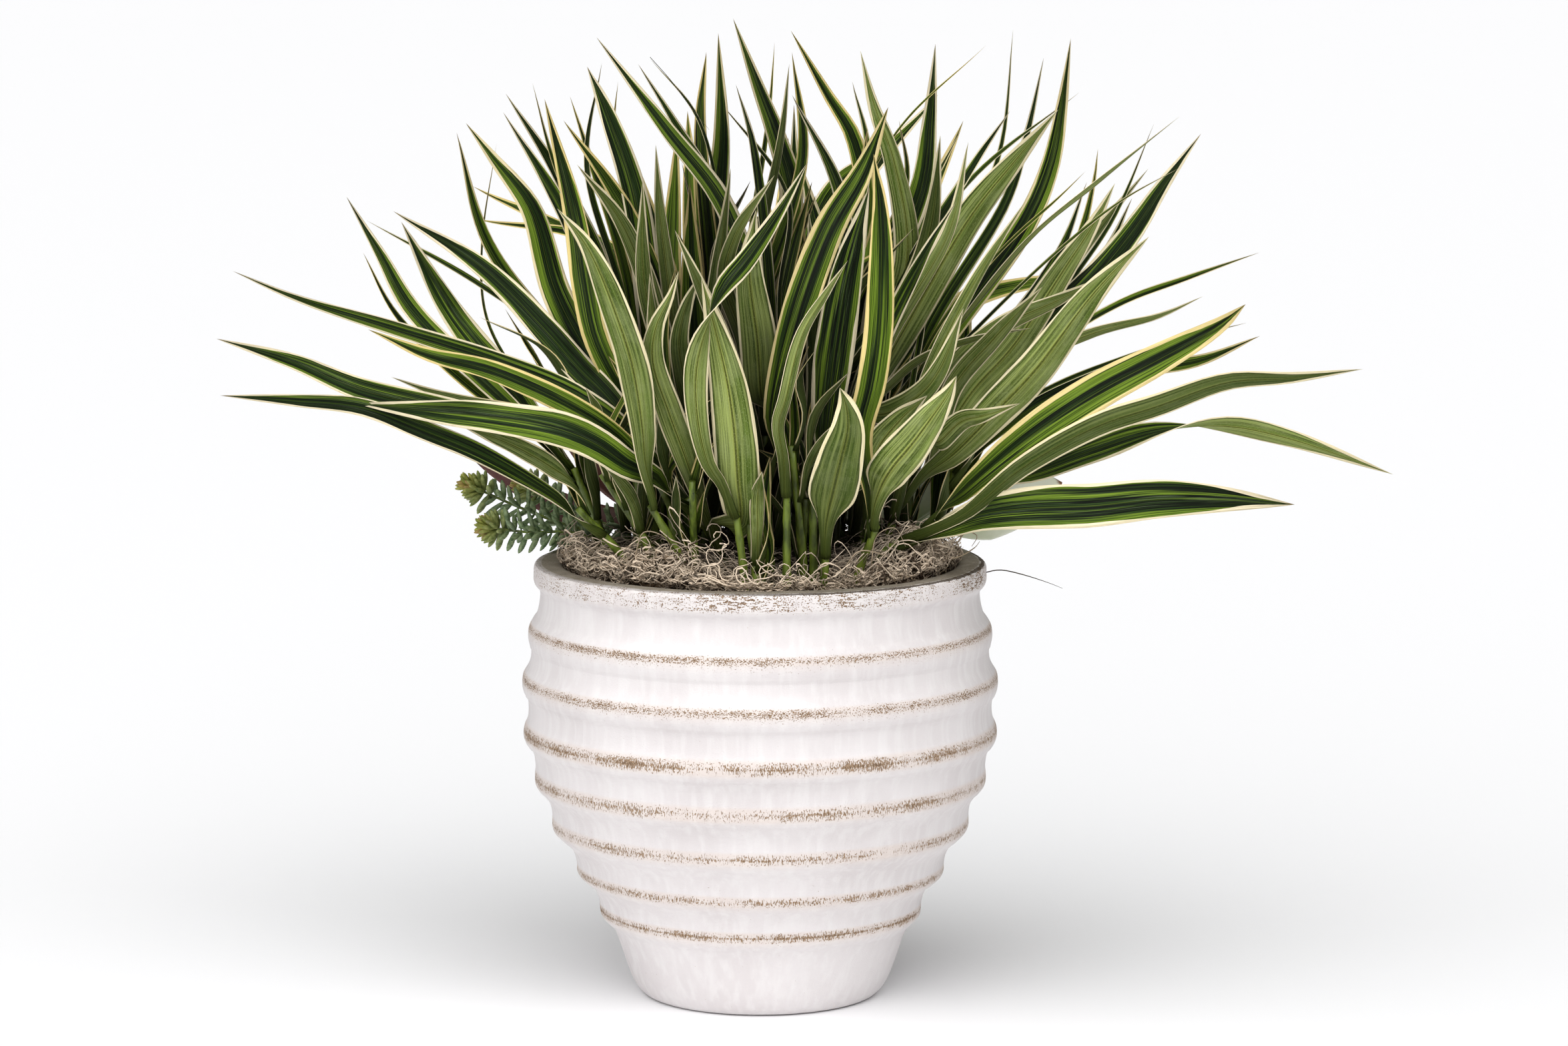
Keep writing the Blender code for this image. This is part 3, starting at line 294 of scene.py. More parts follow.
# The pot: radius and height, in centimetres, up its outside, over the rim and down its inside
pot = {
    "outside": [
        (8.55, 0.6), (8.85, 0.66), (9.1, 0.82), (9.4, 1.15), (9.68, 1.6), (10.1, 2.6), (10.5, 3.75),
        (10.95, 5), (11.14, 5.45), (11.4, 5.9), (11.72, 6.25), (12.02, 6.55), (12.2, 6.85), (12.27, 7.2),
        (12.32, 7.7), (12.45, 8.25), (12.67, 8.7), (13, 9.13), (13.45, 9.5), (13.78, 9.83), (13.95, 10.15),
        (13.98, 10.5), (14.06, 11.1), (14.22, 11.6), (14.46, 12.05), (14.85, 12.45), (15.27, 12.86),
        (15.6, 13.2), (15.8, 13.55), (15.84, 13.9), (15.84, 14.5), (15.93, 15.1), (16.1, 15.55),
        (16.37, 15.95), (16.7, 16.35), (16.97, 16.7), (17.12, 17.1), (17.15, 17.5), (17.1, 18.1),
        (17.14, 18.7), (17.22, 19.15), (17.42, 19.6), (17.7, 20), (17.88, 20.4), (17.96, 20.85),
        (17.88, 21.3), (17.68, 21.75), (17.6, 22.2), (17.58, 22.8), (17.63, 23.3), (17.78, 23.7),
        (17.95, 24.15), (18.06, 24.7), (17.98, 25.2), (17.68, 25.7), (17.46, 26.2), (17.36, 26.8),
        (17.36, 27.3), (17.46, 27.8), (17.56, 28.3), (17.5, 28.8), (17.25, 29.3), (16.93, 29.75),
        (16.76, 30.3), (16.65, 31), (16.64, 31.55), (16.74, 31.85), (17, 32.12), (17.12, 32.35),
        (17.13, 32.9), (17.1, 33.4), (17, 33.6), (16.84, 33.69),
    ],
    "top": [(16.5, 33.72), (15.7, 33.72), (15.2, 33.68), (14.98, 33.58), (14.9, 33.4)],
    "inside": [(14.9, 30), (15.9, 25.5), (15.8, 20.5), (14, 14.5), (10.6, 8), (8.6, 1.6), (0, 1.6)],
    "ribs": [7.15, 10.4, 13.75, 17.35, 20.85, 24.7, 28.35],
    # where each rib is worn, how high and how much; its core is worn more, and so is a band below it
    "worn": [(7.2, 0.36, 1), (10.25, 0.36, 0.9), (13.85, 0.44, 0.85), (17.4, 0.5, 0.9), (21, 0.5, 1),
             (25.05, 0.34, 0.95), (28.85, 0.28, 1)],
    "wornSpread": 1.7,
    "wornCore": (0.4, 3),
    "wornBelow": (0.5, 1.6, 0.75),
    "ledge": 1.02,  # a small step this far below each rib's edge
    "ledgeDepth": 0.075,
    "ledgeFade": 0.5,
    "skin": 0.4,  # the outer side is at least this far from the inner one
    "footTop": 1,
    "lip": (16.4, 33.3),
    "collar": (32.2, 0.3, 0.72),  # from this height on, fading in over this much, and how worn
    "collarLine": (32.33, 0.12, 0.9),
    "bareTop": (33.62, 0.06, 16.8),  # the unpainted top: its height, its soft edge and its radius
    "drawnEdge": (16.86, 33.68, 0.22),
    "sides": 160,
    "rows": 260,
    # in metres from here on
    "unevenness": 0.0011,
    "unevenScale": 0.05,
    "mouth": 0.149,
    "rimHeight": 0.337,
}


def potProfile():
    course = [(r, 0, z) for r, z in pot["outside"]]
    fine = smoothCurve(course, np.linspace(0, 1, pot["rows"]))
    below = [np.where(z > fine[:, 2] - 0.01, z - fine[:, 2], math.inf) for z in pot["ribs"]]
    drop = np.min(below, axis=0)  # how far each row lies below the next rib
    fine[:, 0] += pot["ledgeDepth"] * np.clip(drop / pot["ledgeFade"], 0, 1) * (drop < pot["ledge"])
    rows = [(0, fine[0, 2])] + [(r, z) for r, _, z in fine] + pot["top"] + pot["inside"]
    return [(r * cm, z * cm) for r, z in rows]


def paintWear(piece):
    points = pointsOf(piece)
    radius, height = np.hypot(points[:, 0], points[:, 1]) / cm, points[:, 2] / cm
    levels, walls = zip(*[(z, r) for r, z in reversed(pot["inside"])])
    onLip = (radius > pot["lip"][0]) * (height > pot["lip"][1])
    outer = (radius > np.interp(height, levels, walls) + pot["skin"]) | (height < pot["footTop"]) | onLip
    wear = np.zeros(len(points))
    below, reach, fade = pot["wornBelow"]
    coreMuch, coreFade = pot["wornCore"]
    for middle, high, much in pot["worn"]:
        away = np.abs(height - middle) / high
        core = coreMuch * np.clip(1 - away * coreFade, 0, 1)
        wear = np.maximum(wear, much * (np.clip(pot["wornSpread"] - away, 0, 1) + core))
        wear = np.maximum(wear, below * (height < middle) * np.clip(reach + (height - middle) / fade, 0, 1))
    start, fade, much = pot["collar"]
    collar = np.clip((height - start) / fade, 0, 1) * outer
    line, fade, lineMuch = pot["collarLine"]
    line = np.clip(1 - np.abs(height - line) / fade, 0, 1)
    wear = np.maximum(wear, np.maximum(much * collar, lineMuch * line)) * outer
    level, fade, reach = pot["bareTop"]
    bare = np.clip((height - level) / fade, 0, 1) * (radius < reach) + (~outer) * (height > pot["footTop"])
    edgeRadius, edgeHeight, fade = pot["drawnEdge"]
    paint(piece, "wear", wear)
    paint(piece, "rim", collar)
    paint(piece, "edge", np.clip(1 - np.hypot(radius - edgeRadius, height - edgeHeight) / fade, 0, 1))
    paint(piece, "bare", np.clip(bare, 0, 1))


def modelPot():
    piece = primitive(bpy.ops.mesh.primitive_plane_add, size=cm, location=footLevel)
    bpy.ops.object.mode_set(mode="EDIT")
    bpy.ops.mesh.select_all(action="SELECT")
    bpy.ops.mesh.merge(type="CENTER")
    profile = potProfile()
    for (r0, z0), (r1, z1) in zip(profile, profile[1:]):
        bpy.ops.mesh.extrude_region_move(TRANSFORM_OT_translate={"value": (r1 - r0, 0, z1 - z0)})
    bpy.ops.mesh.select_all(action="SELECT")
    bpy.ops.mesh.spin(steps=pot["sides"], angle=2 * math.pi, center=(0, 0, 0), axis=(0, 0, 1))
    bpy.ops.mesh.select_all(action="SELECT")
    bpy.ops.mesh.remove_doubles(threshold=0.00002)
    bpy.ops.mesh.normals_make_consistent(inside=False)
    bpy.ops.object.mode_set(mode="OBJECT")
    paintWear(piece)
    aboveFoot = np.nonzero(pointsOf(piece)[:, 2] / cm > pot["footTop"])[0].tolist()
    piece.vertex_groups.new(name="wall").add(aboveFoot, 1, "REPLACE")
    clouds = bpy.data.textures.new("hand", "CLOUDS")
    clouds.noise_scale = pot["unevenScale"]
    applyModifier(piece, "DISPLACE", {"texture": clouds, "strength": pot["unevenness"], "mid_level": 0.5,
                                      "vertex_group": "wall", "texture_coords": "LOCAL"})
    piece.vertex_groups.clear()
    piece.data.materials.append(potFinish())
    return joined("ribbedPot", [piece])


def potFinish():
    r = Recipe("chalkPaint", {"Specular IOR Level": 0.3})
    wear, rim, edge, bare = (r.mark(name) for name in ("wear", "rim", "edge", "bare"))
    side, height = r.part(r.place(), 0), r.part(r.place(), 2)
    drift, patch = r.noise(r.place(), 13, 3), r.noise(r.place(), 60, 3)
    grit = r.noise(r.place((0.7, 0.7, 1)), 1250, 3)
    strokes = r.noise(r.place((1, 1, 0.3)), 1350, 3)
    streaks = r.noise(r.place((0.2, 0.2, 1)), 800, 3)
    brushed = r.noise(r.place((1, 1, 0.12)), 150, 3)
    low = 1 - r.rise(height, 0.20, 0.245)  # the lower ribs wear in upright strokes
    grain = grit + (strokes - grit) * low * 0.7
    scuffs = rim * r.rise(drift, 0.54, 0.66) * r.rise(streaks, 0.42, 0.6)
    worn = wear * (0.5 + drift) + (patch - 0.5) * 0.9 * wear + rim * (streaks - 0.5) * 2.2 + scuffs * 0.5
    depth = grain + worn * 0.24 - 0.765
    pits = r.rise(r.noise(r.place(), 700, 1) + (patch - 0.5) * 0.15, 0.80, 0.83) * 0.6
    specks = r.maths("MAXIMUM", r.rise(depth, -0.01, 0.04), pits)
    taupe = r.mix(r.noise(r.place(), 110, 5), (112, 103, 90), (164, 155, 141))
    right = r.rise(side, -0.09, 0.07)  # the brown line along the edge is stronger on this side
    line = r.rise(edge + (patch - 0.5) * 0.9 + (grit - 0.5) * 0.6, 0.3, 0.5) * (0.4 + right * 0.6)
    colour = r.coats(
        r.blend(drift, 0.3, 0.7, (222, 216, 216), (231, 226, 226)),
        (r.rise(brushed, 0.4, 0.7) * 0.5, (238, 235, 234)),
        (r.rise(wear, 0.1, 0.9) * (1 - rim * 0.7) * 0.5, (223, 206, 194)),
        (specks * 0.92, r.blend(depth, 0.04, 0.17, (168, 138, 106), (98, 72, 44))),
        (bare, r.mix(r.rise(grit, 0.56, 0.66) * 0.6, taupe, (92, 83, 70))),
        (line * 0.9, (66, 52, 36)),
    )
    lumps = r.noise(r.place(), 50, 4) * 0.5 + grit * 0.14 + brushed * 0.3 - specks * 0.22
    r.finish({"Base Color": colour, "Roughness": 0.7 + specks * 0.2, "Normal": r.bump(lumps, 0.0014)})
    return r.material


finished(modelPot(), "pot", "pot")
print("pot turned")


# The moss bed: its level at the rim, and its mounds as x, y, radius and rise, in centimetres
moss = {
    "level": 33,
    "mounds": [(12, -4.5, 4.2, 2.6), (-7.5, -9.5, 5.5, 1.5), (-1, 7, 8, 1.2), (2.8, -12.5, 5, -1.6),
               (-12, 1, 3.5, 0.9), (9.5, 9.5, 4, 1)],
    "atRim": 0.35,  # how much of the mounds is left at the rim
    "slope": 0.03,  # and how far inside it, in metres, they are whole
}


def mossHeight(x, y):
    height = moss["level"]
    for centreX, centreY, radius, rise in moss["mounds"]:
        away = ((x / cm - centreX) ** 2 + (y / cm - centreY) ** 2) / radius**2
        height += rise * math.exp(-away)
    inside = min(1, max(0, (pot["mouth"] - math.hypot(x, y)) / moss["slope"]))
    kept = moss["atRim"] + (1 - moss["atRim"]) * inside
    return (moss["level"] + (height - moss["level"]) * kept) * cm


# Grass stems: root x, y and top x, y, z, in centimetres
stemPlaces = (
    (-9.8, -8.2, -13.4, -9.6, 39),
    (-7.2, -3.4, -9.6, -4.4, 41),
    (-5.6, -10.4, -8, -11.6, 39.5),
    (-2.4, -6.6, -5.4, -8.2, 39.5),
    (-1, -11.8, -1.7, -12.2, 39),
    (0.8, -7.6, 0.5, -8.2, 41),
    (2, -11.6, 2, -11.8, 40.5),
    (4, -8.2, 3.9, -8.8, 40),
    (4.6, -12, 5.1, -12.8, 38.5),
    (7, -9.8, 8.6, -11.4, 38),
    (8.8, -6, 13.2, -7.6, 37.6),
    (9.4, -1.8, 11.4, -2.2, 41),
    (-4.2, -1.4, -5, -1.4, 43),
    (0.2, -2.8, 0.4, -2.8, 44),
    (4.7, -3.4, 5.6, -3.4, 43),
    (-11.4, -1.6, -14, -1.8, 41),
    (12.8, 2.2, 15, 2.4, 41),
    (-7.2, 3.2, -8.2, 3.8, 43),
    (-2.2, 3.4, -2.6, 4, 44),
    (2.6, 3, 3, 3.6, 44),
    (7.6, 3.2, 8.8, 3.8, 43),
    (-4.2, 9, -5, 11, 42),
    (1, 10.6, 1.2, 12.6, 42),
    (5.8, 8.4, 6.9, 10.2, 42),
)

# Blades as the front view shows them: stem, width, turn, tip depth, then x and z along the blade
# Turn 0 shows the dark face, 90 the edge and 180 the pale face; a pair of turns is a twist
bladePlaces = (
    (3, 3, 176, -14, -1.6, 36.5, -1.7, 40, -2, 44, -2.5, 47.5, -3.3, 51, -4.4, 55.2),
    (8, 3.3, 178, -16, 4.8, 36.8, 5.6, 39.4, 6.1, 41.5, 6.6, 43.7, 6.5, 45.4, 6, 46.9),
    (9, 2.9, 176, -17, 8.2, 38.9, 9.8, 40.6, 11.5, 42.7, 12.9, 44.6, 14.2, 46.5, 14.8, 47.8),
    (10, 3, 15, -9, 16.5, 37.2, 20, 37.7, 25, 37.9, 30, 38.4, 35, 38.4, 40.4, 38),
    (10, 2.7, 25, -4, 15.3, 38.9, 20, 42.9, 25.5, 46.6, 30, 49, 34.4, 51.5, 36.5, 53.2),
    (10, 1.8, 160, -13, 15.4, 37.2, 19.8, 40.8, 25.5, 44, 30, 45.5, 35.2, 47.3, 40, 47.6, 45.4, 48.3),
    (16, 1.9, (15, 165), -2, 20, 40.3, 25, 42.1, 30, 43.6, 35, 44, 40, 43, 47.8, 40.3),
    (3, 2.4, 18, -12, -7.9, 40.1, -10, 41, -12.2, 42.5, -15, 43.7, -20, 44.6, -25, 45.1, -30.5, 45.7),
    (3, 1.6, 25, -9, -10, 42.5, -12.9, 44.7, -20, 48.1, -25, 49.4, -29.5, 51.3),
    (3, 1.3, 30, -5, -9.5, 43.4, -13.8, 46.5, -20, 49, -27.7, 51.4, -35, 53.7, -39.6, 55.7),
    (0, 1.4, 20, -8, -15.4, 38.5, -21, 41.8, -25, 43.5, -30, 45.4, -35, 45.9, -40.7, 46.3),
    (0, 1.5, 160, -12, -14.6, 40.2, -18, 42.2, -22.5, 44),
    (1, 1.8, 30, 3, -16, 43.4, -23.7, 45.2, -30, 46.7, -35, 48.8, -40.9, 50.6),
    (1, 1.2, 150, -3, -16.5, 44.5, -23.7, 46.2, -27.8, 47.7),
    (3, 2, 20, 1, -11.2, 45.8, -13.8, 48.5, -16.3, 51.4, -20.9, 56, -27.5, 60.2),
    (12, 1.9, 20, 4, -8.7, 44.6, -10.7, 47.2, -12.4, 50.6, -13.2, 54.4, -14, 60, -16.1, 68.6),
    (1, 2.1, 15, 2, -11.2, 47.2, -13.3, 50.1, -15.4, 54.2, -17.2, 60.4, -20, 64.2, -22, 66.8),
    (2, 2.2, 170, -15, -8.9, 44, -9.6, 48.5, -10.6, 51.8, -12.9, 57.4, -15.2, 60.4),
    (3, 1.9, 170, -16, -5.6, 41.5, -6.9, 45.1, -8.1, 49, -7.8, 51.6, -6.8, 53.7, -6.1, 55.7),
    (12, 1.6, 165, -6, -5.2, 45.2, -5.8, 48, -6.1, 50.6, -5.5, 53.2, -4.4, 55.6),
    (4, 1.7, (178, 8), -13, -3.9, 41, -4.8, 45.4, -4.6, 49.5, -2.8, 54.2, -1.1, 56.4, 1.6, 60.4, 3.6, 63.9),
    (13, 2.6, 172, -7, 0.1, 46.2, -0.2, 50.6, -0.8, 55.7, -0.3, 60.3),
    (5, 2.3, 10, -1, 1, 45, 2.4, 50.9, 3.6, 54.8, 5.3, 59.1, 7.7, 63.2, 9.6, 68),
    (6, 1.1, 150, -13, 1.4, 44, 1.9, 46, 3.2, 51, 5, 54, 6.6, 56.5),
    (7, 2.7, 8, -12, 4.5, 43, 5.2, 46.5, 5.8, 51, 6.6, 55.7, 8.2, 62),
    (9, 2, 5, -8, 7.6, 43.5, 8.4, 47.2, 8.9, 51, 9.1, 56, 9, 60.7, 8.5, 64.5),
    (9, 2.2, 165, -13, 8.8, 42, 10.5, 44.4, 12.6, 46.3),
    (11, 1.7, 165, -11, 13.5, 42.8, 15.3, 44.4, 17, 44.8, 19.6, 45.7),
    (14, 1.7, 168, -9, 9.4, 44.9, 12.2, 46.5, 13.6, 48.4, 15.3, 52.9),
    (14, 1.2, 125, -5, 9.3, 46.5, 12, 48.9, 16.4, 50.6, 20.4, 51.4),
    (11, 1.5, 165, -6, 13.9, 47.5, 17.8, 51.3, 22.4, 53.5, 26.3, 55.4),
    (11, 1.5, 170, -2, 14.5, 46.8, 17.5, 50.5, 21.2, 54.5),
    (11, 2.3, 172, 2, 15.9, 46.5, 19, 50, 23, 56.1, 25, 59.2, 26.6, 62.3),
    (11, 2.7, 172, -9, 14.3, 41.6, 17.3, 44.6, 20.7, 48.2, 25.2, 54.2, 29.2, 58.3),
    (16, 1, 150, -4, 17.4, 45.8, 19.8, 48.6, 25, 51, 30, 52.3, 33.3, 53.8),
    (16, 0.7, 70, 5, 21, 46.4, 30, 50, 36.6, 51.8),
    (16, 1.5, 30, 1, 20.6, 45.5, 26.4, 48, 33, 48.9, 37.6, 50.8),
    (16, 0.9, 60, 7, 18.4, 46, 22.2, 50.2, 27, 53.2, 32.5, 55.3, 37.5, 57.1),
    (20, 1.1, 115, 6, 14.5, 51, 20.4, 58.2, 25.4, 62.4, 31.4, 67.3),
    (16, 0.9, 20, 5, 20, 50, 23.6, 57, 25, 62.3, 25.3, 64.9),
    (20, 1.2, 40, 8, 16, 48.5, 22.2, 56.5, 24.5, 62.4),
    (16, 0.7, 60, 8, 21.5, 52, 26.5, 59.6, 29.5, 66.8),
    (16, 1.5, 150, 2, 20.6, 52, 25.9, 59.4, 29.1, 63.4),
    (20, 2.1, 12, 0, 14, 47.5, 19.5, 50.5, 24, 54, 27.8, 58.5, 30.3, 62.3, 33, 66),
    (20, 0.7, 75, 3, 19, 54, 26.3, 60.4, 31.5, 63.5),
    (20, 1.3, 20, 3, 14.5, 47, 20.5, 51, 25.5, 56.3, 27.9, 61.2),
    (20, 0.7, 70, 4, 13.5, 51.5, 18.4, 57.5, 22.4, 61.2, 24.4, 63.2),
    (20, 1.8, 10, 7, 13.5, 50, 20, 59.4, 21.8, 63.8, 22.6, 68.2, 23.2, 73.1),
    (20, 1, 25, 10, 12.6, 51, 18.5, 61, 20.1, 66.4, 21.2, 71.7),
    (14, 2.4, 172, -6, 9, 48, 12.9, 55, 15.9, 60, 19.1, 64, 22.3, 67.8),
    (20, 0.7, 60, 12, 11.5, 56, 15.7, 62.4, 23.9, 69.1),
    (20, 1, 30, 9, 10.5, 54, 15.7, 63.2, 18.7, 67.7),
    (20, 0.7, 50, 9, 14.5, 56, 18, 64.7, 18.9, 73.8),
    (14, 1.6, 165, -4, 8.4, 49, 12, 56, 12.9, 59.5, 13.5, 65.9),
    (14, 1.4, 150, -1, 9.6, 50.5, 14.2, 58.7, 15.6, 65.4),
    (19, 1.8, 15, 8, 7.4, 52, 12, 61.6, 12.7, 67, 13.1, 72.7),
    (19, 0.8, 80, 11, 5.5, 56, 10, 65.7, 16.9, 72.6),
    (19, 0.9, 30, 6, 7, 53, 11, 62.4, 10.4, 67),
    (14, 1.3, 20, 2, 9, 50, 12.6, 57.4, 14.7, 60.9),
    (11, 0.8, 60, 1, 12, 50, 13.4, 56.4, 16.3, 60.1),
    (11, 1.1, 160, -3, 12.6, 47.5, 15.9, 54.5, 20, 61.1),
    (19, 2, 150, 5, 8, 50, 11, 56.2, 10, 64, 8.5, 68.2, 7.5, 72.2),
    (19, 1, 25, 12, 5.2, 54, 8.1, 64, 6.9, 69.9),
    (19, 1.6, 20, 9, 4.8, 52, 7.8, 60, 7, 65.6, 5, 69, 2.3, 73.7),
    (18, 1.1, 30, 9, 0.2, 54, 3.2, 64, 2.4, 72.1),
    (18, 1, 140, 5, -1, 54, 1.5, 65, 2.2, 71.2),
    (14, 1.3, 20, 3, 6.4, 52, 6, 61.4, 2.4, 68.9),
    (18, 1.8, 15, 7, -0.6, 52, 2.4, 60.9, 1.3, 65.7, 0, 69.2, -2, 74.6),
    (18, 0.7, 50, 12, -0.8, 57, 0.7, 67.4, 1.1, 72.8),
    (18, 1.7, 15, 8, -2.6, 52, -3.4, 58, -2.9, 66, -3.1, 73.5),
    (18, 1.3, 25, 11, -3.6, 55, -4.5, 66, -4, 72.1),
    (13, 0.9, 30, 4, 0.7, 54, -0.5, 65, -1.8, 69.7),
    (13, 0.7, 60, 7, 1.4, 54, 2.1, 61, -3.2, 68.7),
    (13, 1.5, 20, 4, -0.4, 52, -2.6, 60.4, -6.8, 66.1, -12.2, 73.2),
    (13, 1.2, 30, 1, -0.7, 53.5, -2.6, 60, -6.3, 66.7, -9.1, 71.2),
    (18, 0.6, 60, 8, -3, 60, -4.6, 67, -8.2, 71.6),
    (12, 1.2, 165, -4, -6.6, 52, -7.5, 60, -7.8, 65.2),
    (17, 2, 15, 6, -8.3, 52, -9.4, 61.3, -11.5, 67.7, -12.9, 71),
    (17, 0.7, 50, 10, -10.4, 54, -13, 63.4, -11.8, 71.3),
    (17, 0.7, 50, 8, -9.4, 56, -10.9, 66.4, -10.6, 69.9),
    (12, 1.6, 30, 2, -7.3, 53, -10.2, 60.4, -14.7, 67),
    (17, 0.9, 30, 8, -10, 55, -13, 65, -14.2, 68.8),
    (17, 0.7, 50, 6, -12, 55, -15.5, 64, -17, 69.8),
    (12, 1.6, 168, -3, -7.6, 51.5, -10.2, 59, -13.7, 63.7),
    (12, 1.4, 172, -6, -7.4, 49.5, -8.7, 55, -8.8, 62.5),
    (13, 1.3, 172, -7, -2.6, 50, -4.7, 55, -6.4, 58.8),
    (13, 1, 20, -1, -1.8, 51, -3.4, 56.6, -0.7, 62.5),
    (13, 1.2, 160, -4, -1.2, 50, -2.6, 54.6, -1.8, 58.5, 1.1, 62.9),
    (17, 1.4, 30, 5, -10.8, 53, -15, 62.6, -19, 69),
    (17, 1.4, 25, 3, -11.5, 52.5, -15.1, 60.8, -19.2, 67.6),
    (17, 1.2, 30, 4, -14, 49, -20.4, 57.7, -22.7, 66.1),
    (15, 1.6, 40, 5, -21, 47.5, -26.3, 52.9, -28.5, 56.9, -31, 61.3),
    (15, 1, 60, 3, -22.5, 47.4, -27.4, 52.4, -29.8, 57.1),
    (17, 0.8, 60, 8, -13, 48.6, -21, 54.6, -29.5, 59.5),
    (15, 2, 20, 2, -19.5, 47.8, -23.4, 52.9, -26.9, 59.4),
    (15, 0.8, 80, 4, -18, 47, -20.7, 52.4, -20.9, 58, -19.7, 65.3),
)

# Grass stems and blades, in metres
grass = {
    "stemRadius": 0.0034,
    "stemTopRadius": 0.0026,
    "stemSides": 5,
    "stemBow": 0.12,
    "stemShares": (0, 0.33, 0.66, 1),
    "holeFloor": 0.225,
    "uprightRise": 0.004,
    # blades are drawn at random as (stem, how many), in three kinds
    "fillDraws": [(21, 12), (22, 12), (23, 12), (17, 8), (20, 7), (15, 6), (16, 6), (18, 9), (19, 9), (12, 6),
                  (13, 6), (14, 3)],
    "tallDraws": [(12, 5), (13, 6), (14, 6), (17, 5), (18, 7), (19, 7), (20, 5)],
    "fillSeed": 11,
    "fill": {"tries": 80, "widths": (0.015, 0.027), "fan": 1.1, "reach": (0.05, 0.25), "rise": (0.14, 0.30),
             "droop": (-0.03, 0.06), "roll": 40, "crown": (0.33, 0.385), "section": 0.1, "front": -0.06},
    "tall": {"tries": 120, "widths": (0.014, 0.024), "fan": 3.1, "reach": (0.02, 0.13), "rise": (0.18, 0.32),
             "droop": (-0.02, 0.02), "roll": 35, "crown": (0.29, 0.35), "section": 0.1, "front": -0.06},
    "inner": {"tries": 14, "widths": (0.008, 0.013), "fan": 3.1, "reach": (0.01, 0.055),
              "rise": (0.05, 0.13), "droop": (-0.01, 0.02), "roll": 60, "crown": (0.33, 0.385),
              "section": 0.05, "front": -0.2},
    "middle": (0.38, 0.55, 0.5),  # where a drawn blade's middle lies: share of its reach, rise and droop
    "lookUp": (0.8, 0.6),
    "innerSeed": 23,
    "innerShoots": 58,
    "innerLeaves": 5,
    "innerSpread": 0.118,
    "innerHeight": (0.05, 0.12),
    "innerLean": 0.03,
    "innerFlare": 1.15,
    # the listed blades: how far they are shifted and bowed, in centimetres, until they fit
    "stoutness": 1.08,
    "listedTries": 120,
    "depthStep": 0.6,
    "depthPower": 1.3,
    "bowStep": 1,
    "bows": 9,
    # the shape of a blade, and the room that it keeps
    "rootWidth": 0.0044,
    "thickness": 0.0015,
    "fold": 0.11,
    "widestAt": 0.46,
    "swell": 1.2,
    "taper": 2.1,
    "sheath": 0.03,
    "sheathSpread": 0.42,
    "section": 0.085,
    "sections": (3, 7),
    "twistedSections": 11,
    "twist": (0.36, 0.74),
    "spacing": 0.006,
    "clearance": 0.0016,
    "placeSpacing": 0.018,
    "lowestBlade": 0.008,
    "topMargin": 0.002,
    "bladeFloor": 0.006,
    "rimReach": 0.21,
    "keepClear": [((-0.165, 0.09, 0.365), (0.085, 0.07, 0.045)), ((0.16, 0.10, 0.365), (0.075, 0.07, 0.05)),
                  ((-0.11, 0.165, 0.385), (0.11, 0.065, 0.06))],
}


def stemPath(stem):
    rootX, rootY, topX, topY, topZ = (cm * value for value in stem)
    start = mossHeight(rootX, rootY) + grass["uprightRise"]
    root = np.array((rootX, rootY, start))
    top = np.array((topX, topY, topZ))
    bow = np.array((0, 0, grass["stemBow"] * np.linalg.norm(top - root)))
    above = [root + (top - root) * t + bow * 4 * t * (1 - t) * (1 - t) for t in grass["stemShares"]]
    return [np.array((rootX, rootY, grass["holeFloor"] + gap))] + above


def stemTube(path):  # the plain tube that blades keep clear of
    full, top = grass["stemRadius"], grass["stemTopRadius"]
    radii = [full, full, full * 0.95, top * 1.05, top]
    sides, points = grass["stemSides"], []
    for i, middle in enumerate(path):
        along = unit(path[min(i + 1, len(path) - 1)] - path[max(i - 1, 0)])
        if i == 0 or (i == 1 and abs(path[1][2] - path[0][2]) > 0.05):
            along = np.array((0.0, 0.0, 1.0))
        side = unit(np.cross(along, (0.0, 1.0, 0.0)))
        other = np.cross(along, side)
        for k in range(sides):
            angle = 2 * math.pi * k / sides
            points.append(middle + radii[i] * (math.cos(angle) * side + math.sin(angle) * other))
    faces = [tuple(range(sides)), tuple(range(len(points) - sides, len(points)))]
    for i in range(len(path) - 1):
        for k in range(sides):
            a, b = i * sides + k, i * sides + (k + 1) % sides
            faces.append((a, b, b + sides, a + sides))
    return points, faces


def stemPoint(path, height):
    above = path[1:]
    for start, end in zip(above, above[1:]):
        if height <= end[2]:
            break
    share = (height - start[2]) / (end[2] - start[2])
    return start + (end - start) * share, unit(end - start)


def bladeWidth(share, width):
    root = min(grass["rootWidth"], width)
    widest = grass["widestAt"]
    if share < widest:
        return root + (width - root) * math.sin(math.pi / 2 * share / widest) ** grass["swell"]
    return width * (1 - ((share - widest) / (1 - widest)) ** grass["taper"])


def bladeNormals(spine, shares, blade):  # where the dark face looks, at each point of a spine
    normals = []
    last = len(spine) - 1
    start, end = blade["turns"]
    twistFrom, twistTo = grass["twist"]
    for i, share in enumerate(shares):
        along = unit(spine[min(i + 1, last)] - spine[max(i - 1, 0)])
        facing = unit(blade["reference"] - along * np.dot(blade["reference"], along))
        up = np.cross(along, facing) * blade["lean"]
        twist = smooth(min(1, max(0, (share - twistFrom) / (twistTo - twistFrom))))
        angle = math.radians(start + (end - start) * twist)
        normals.append(math.cos(angle) * facing + math.sin(angle) * up)
    return np.array(normals)


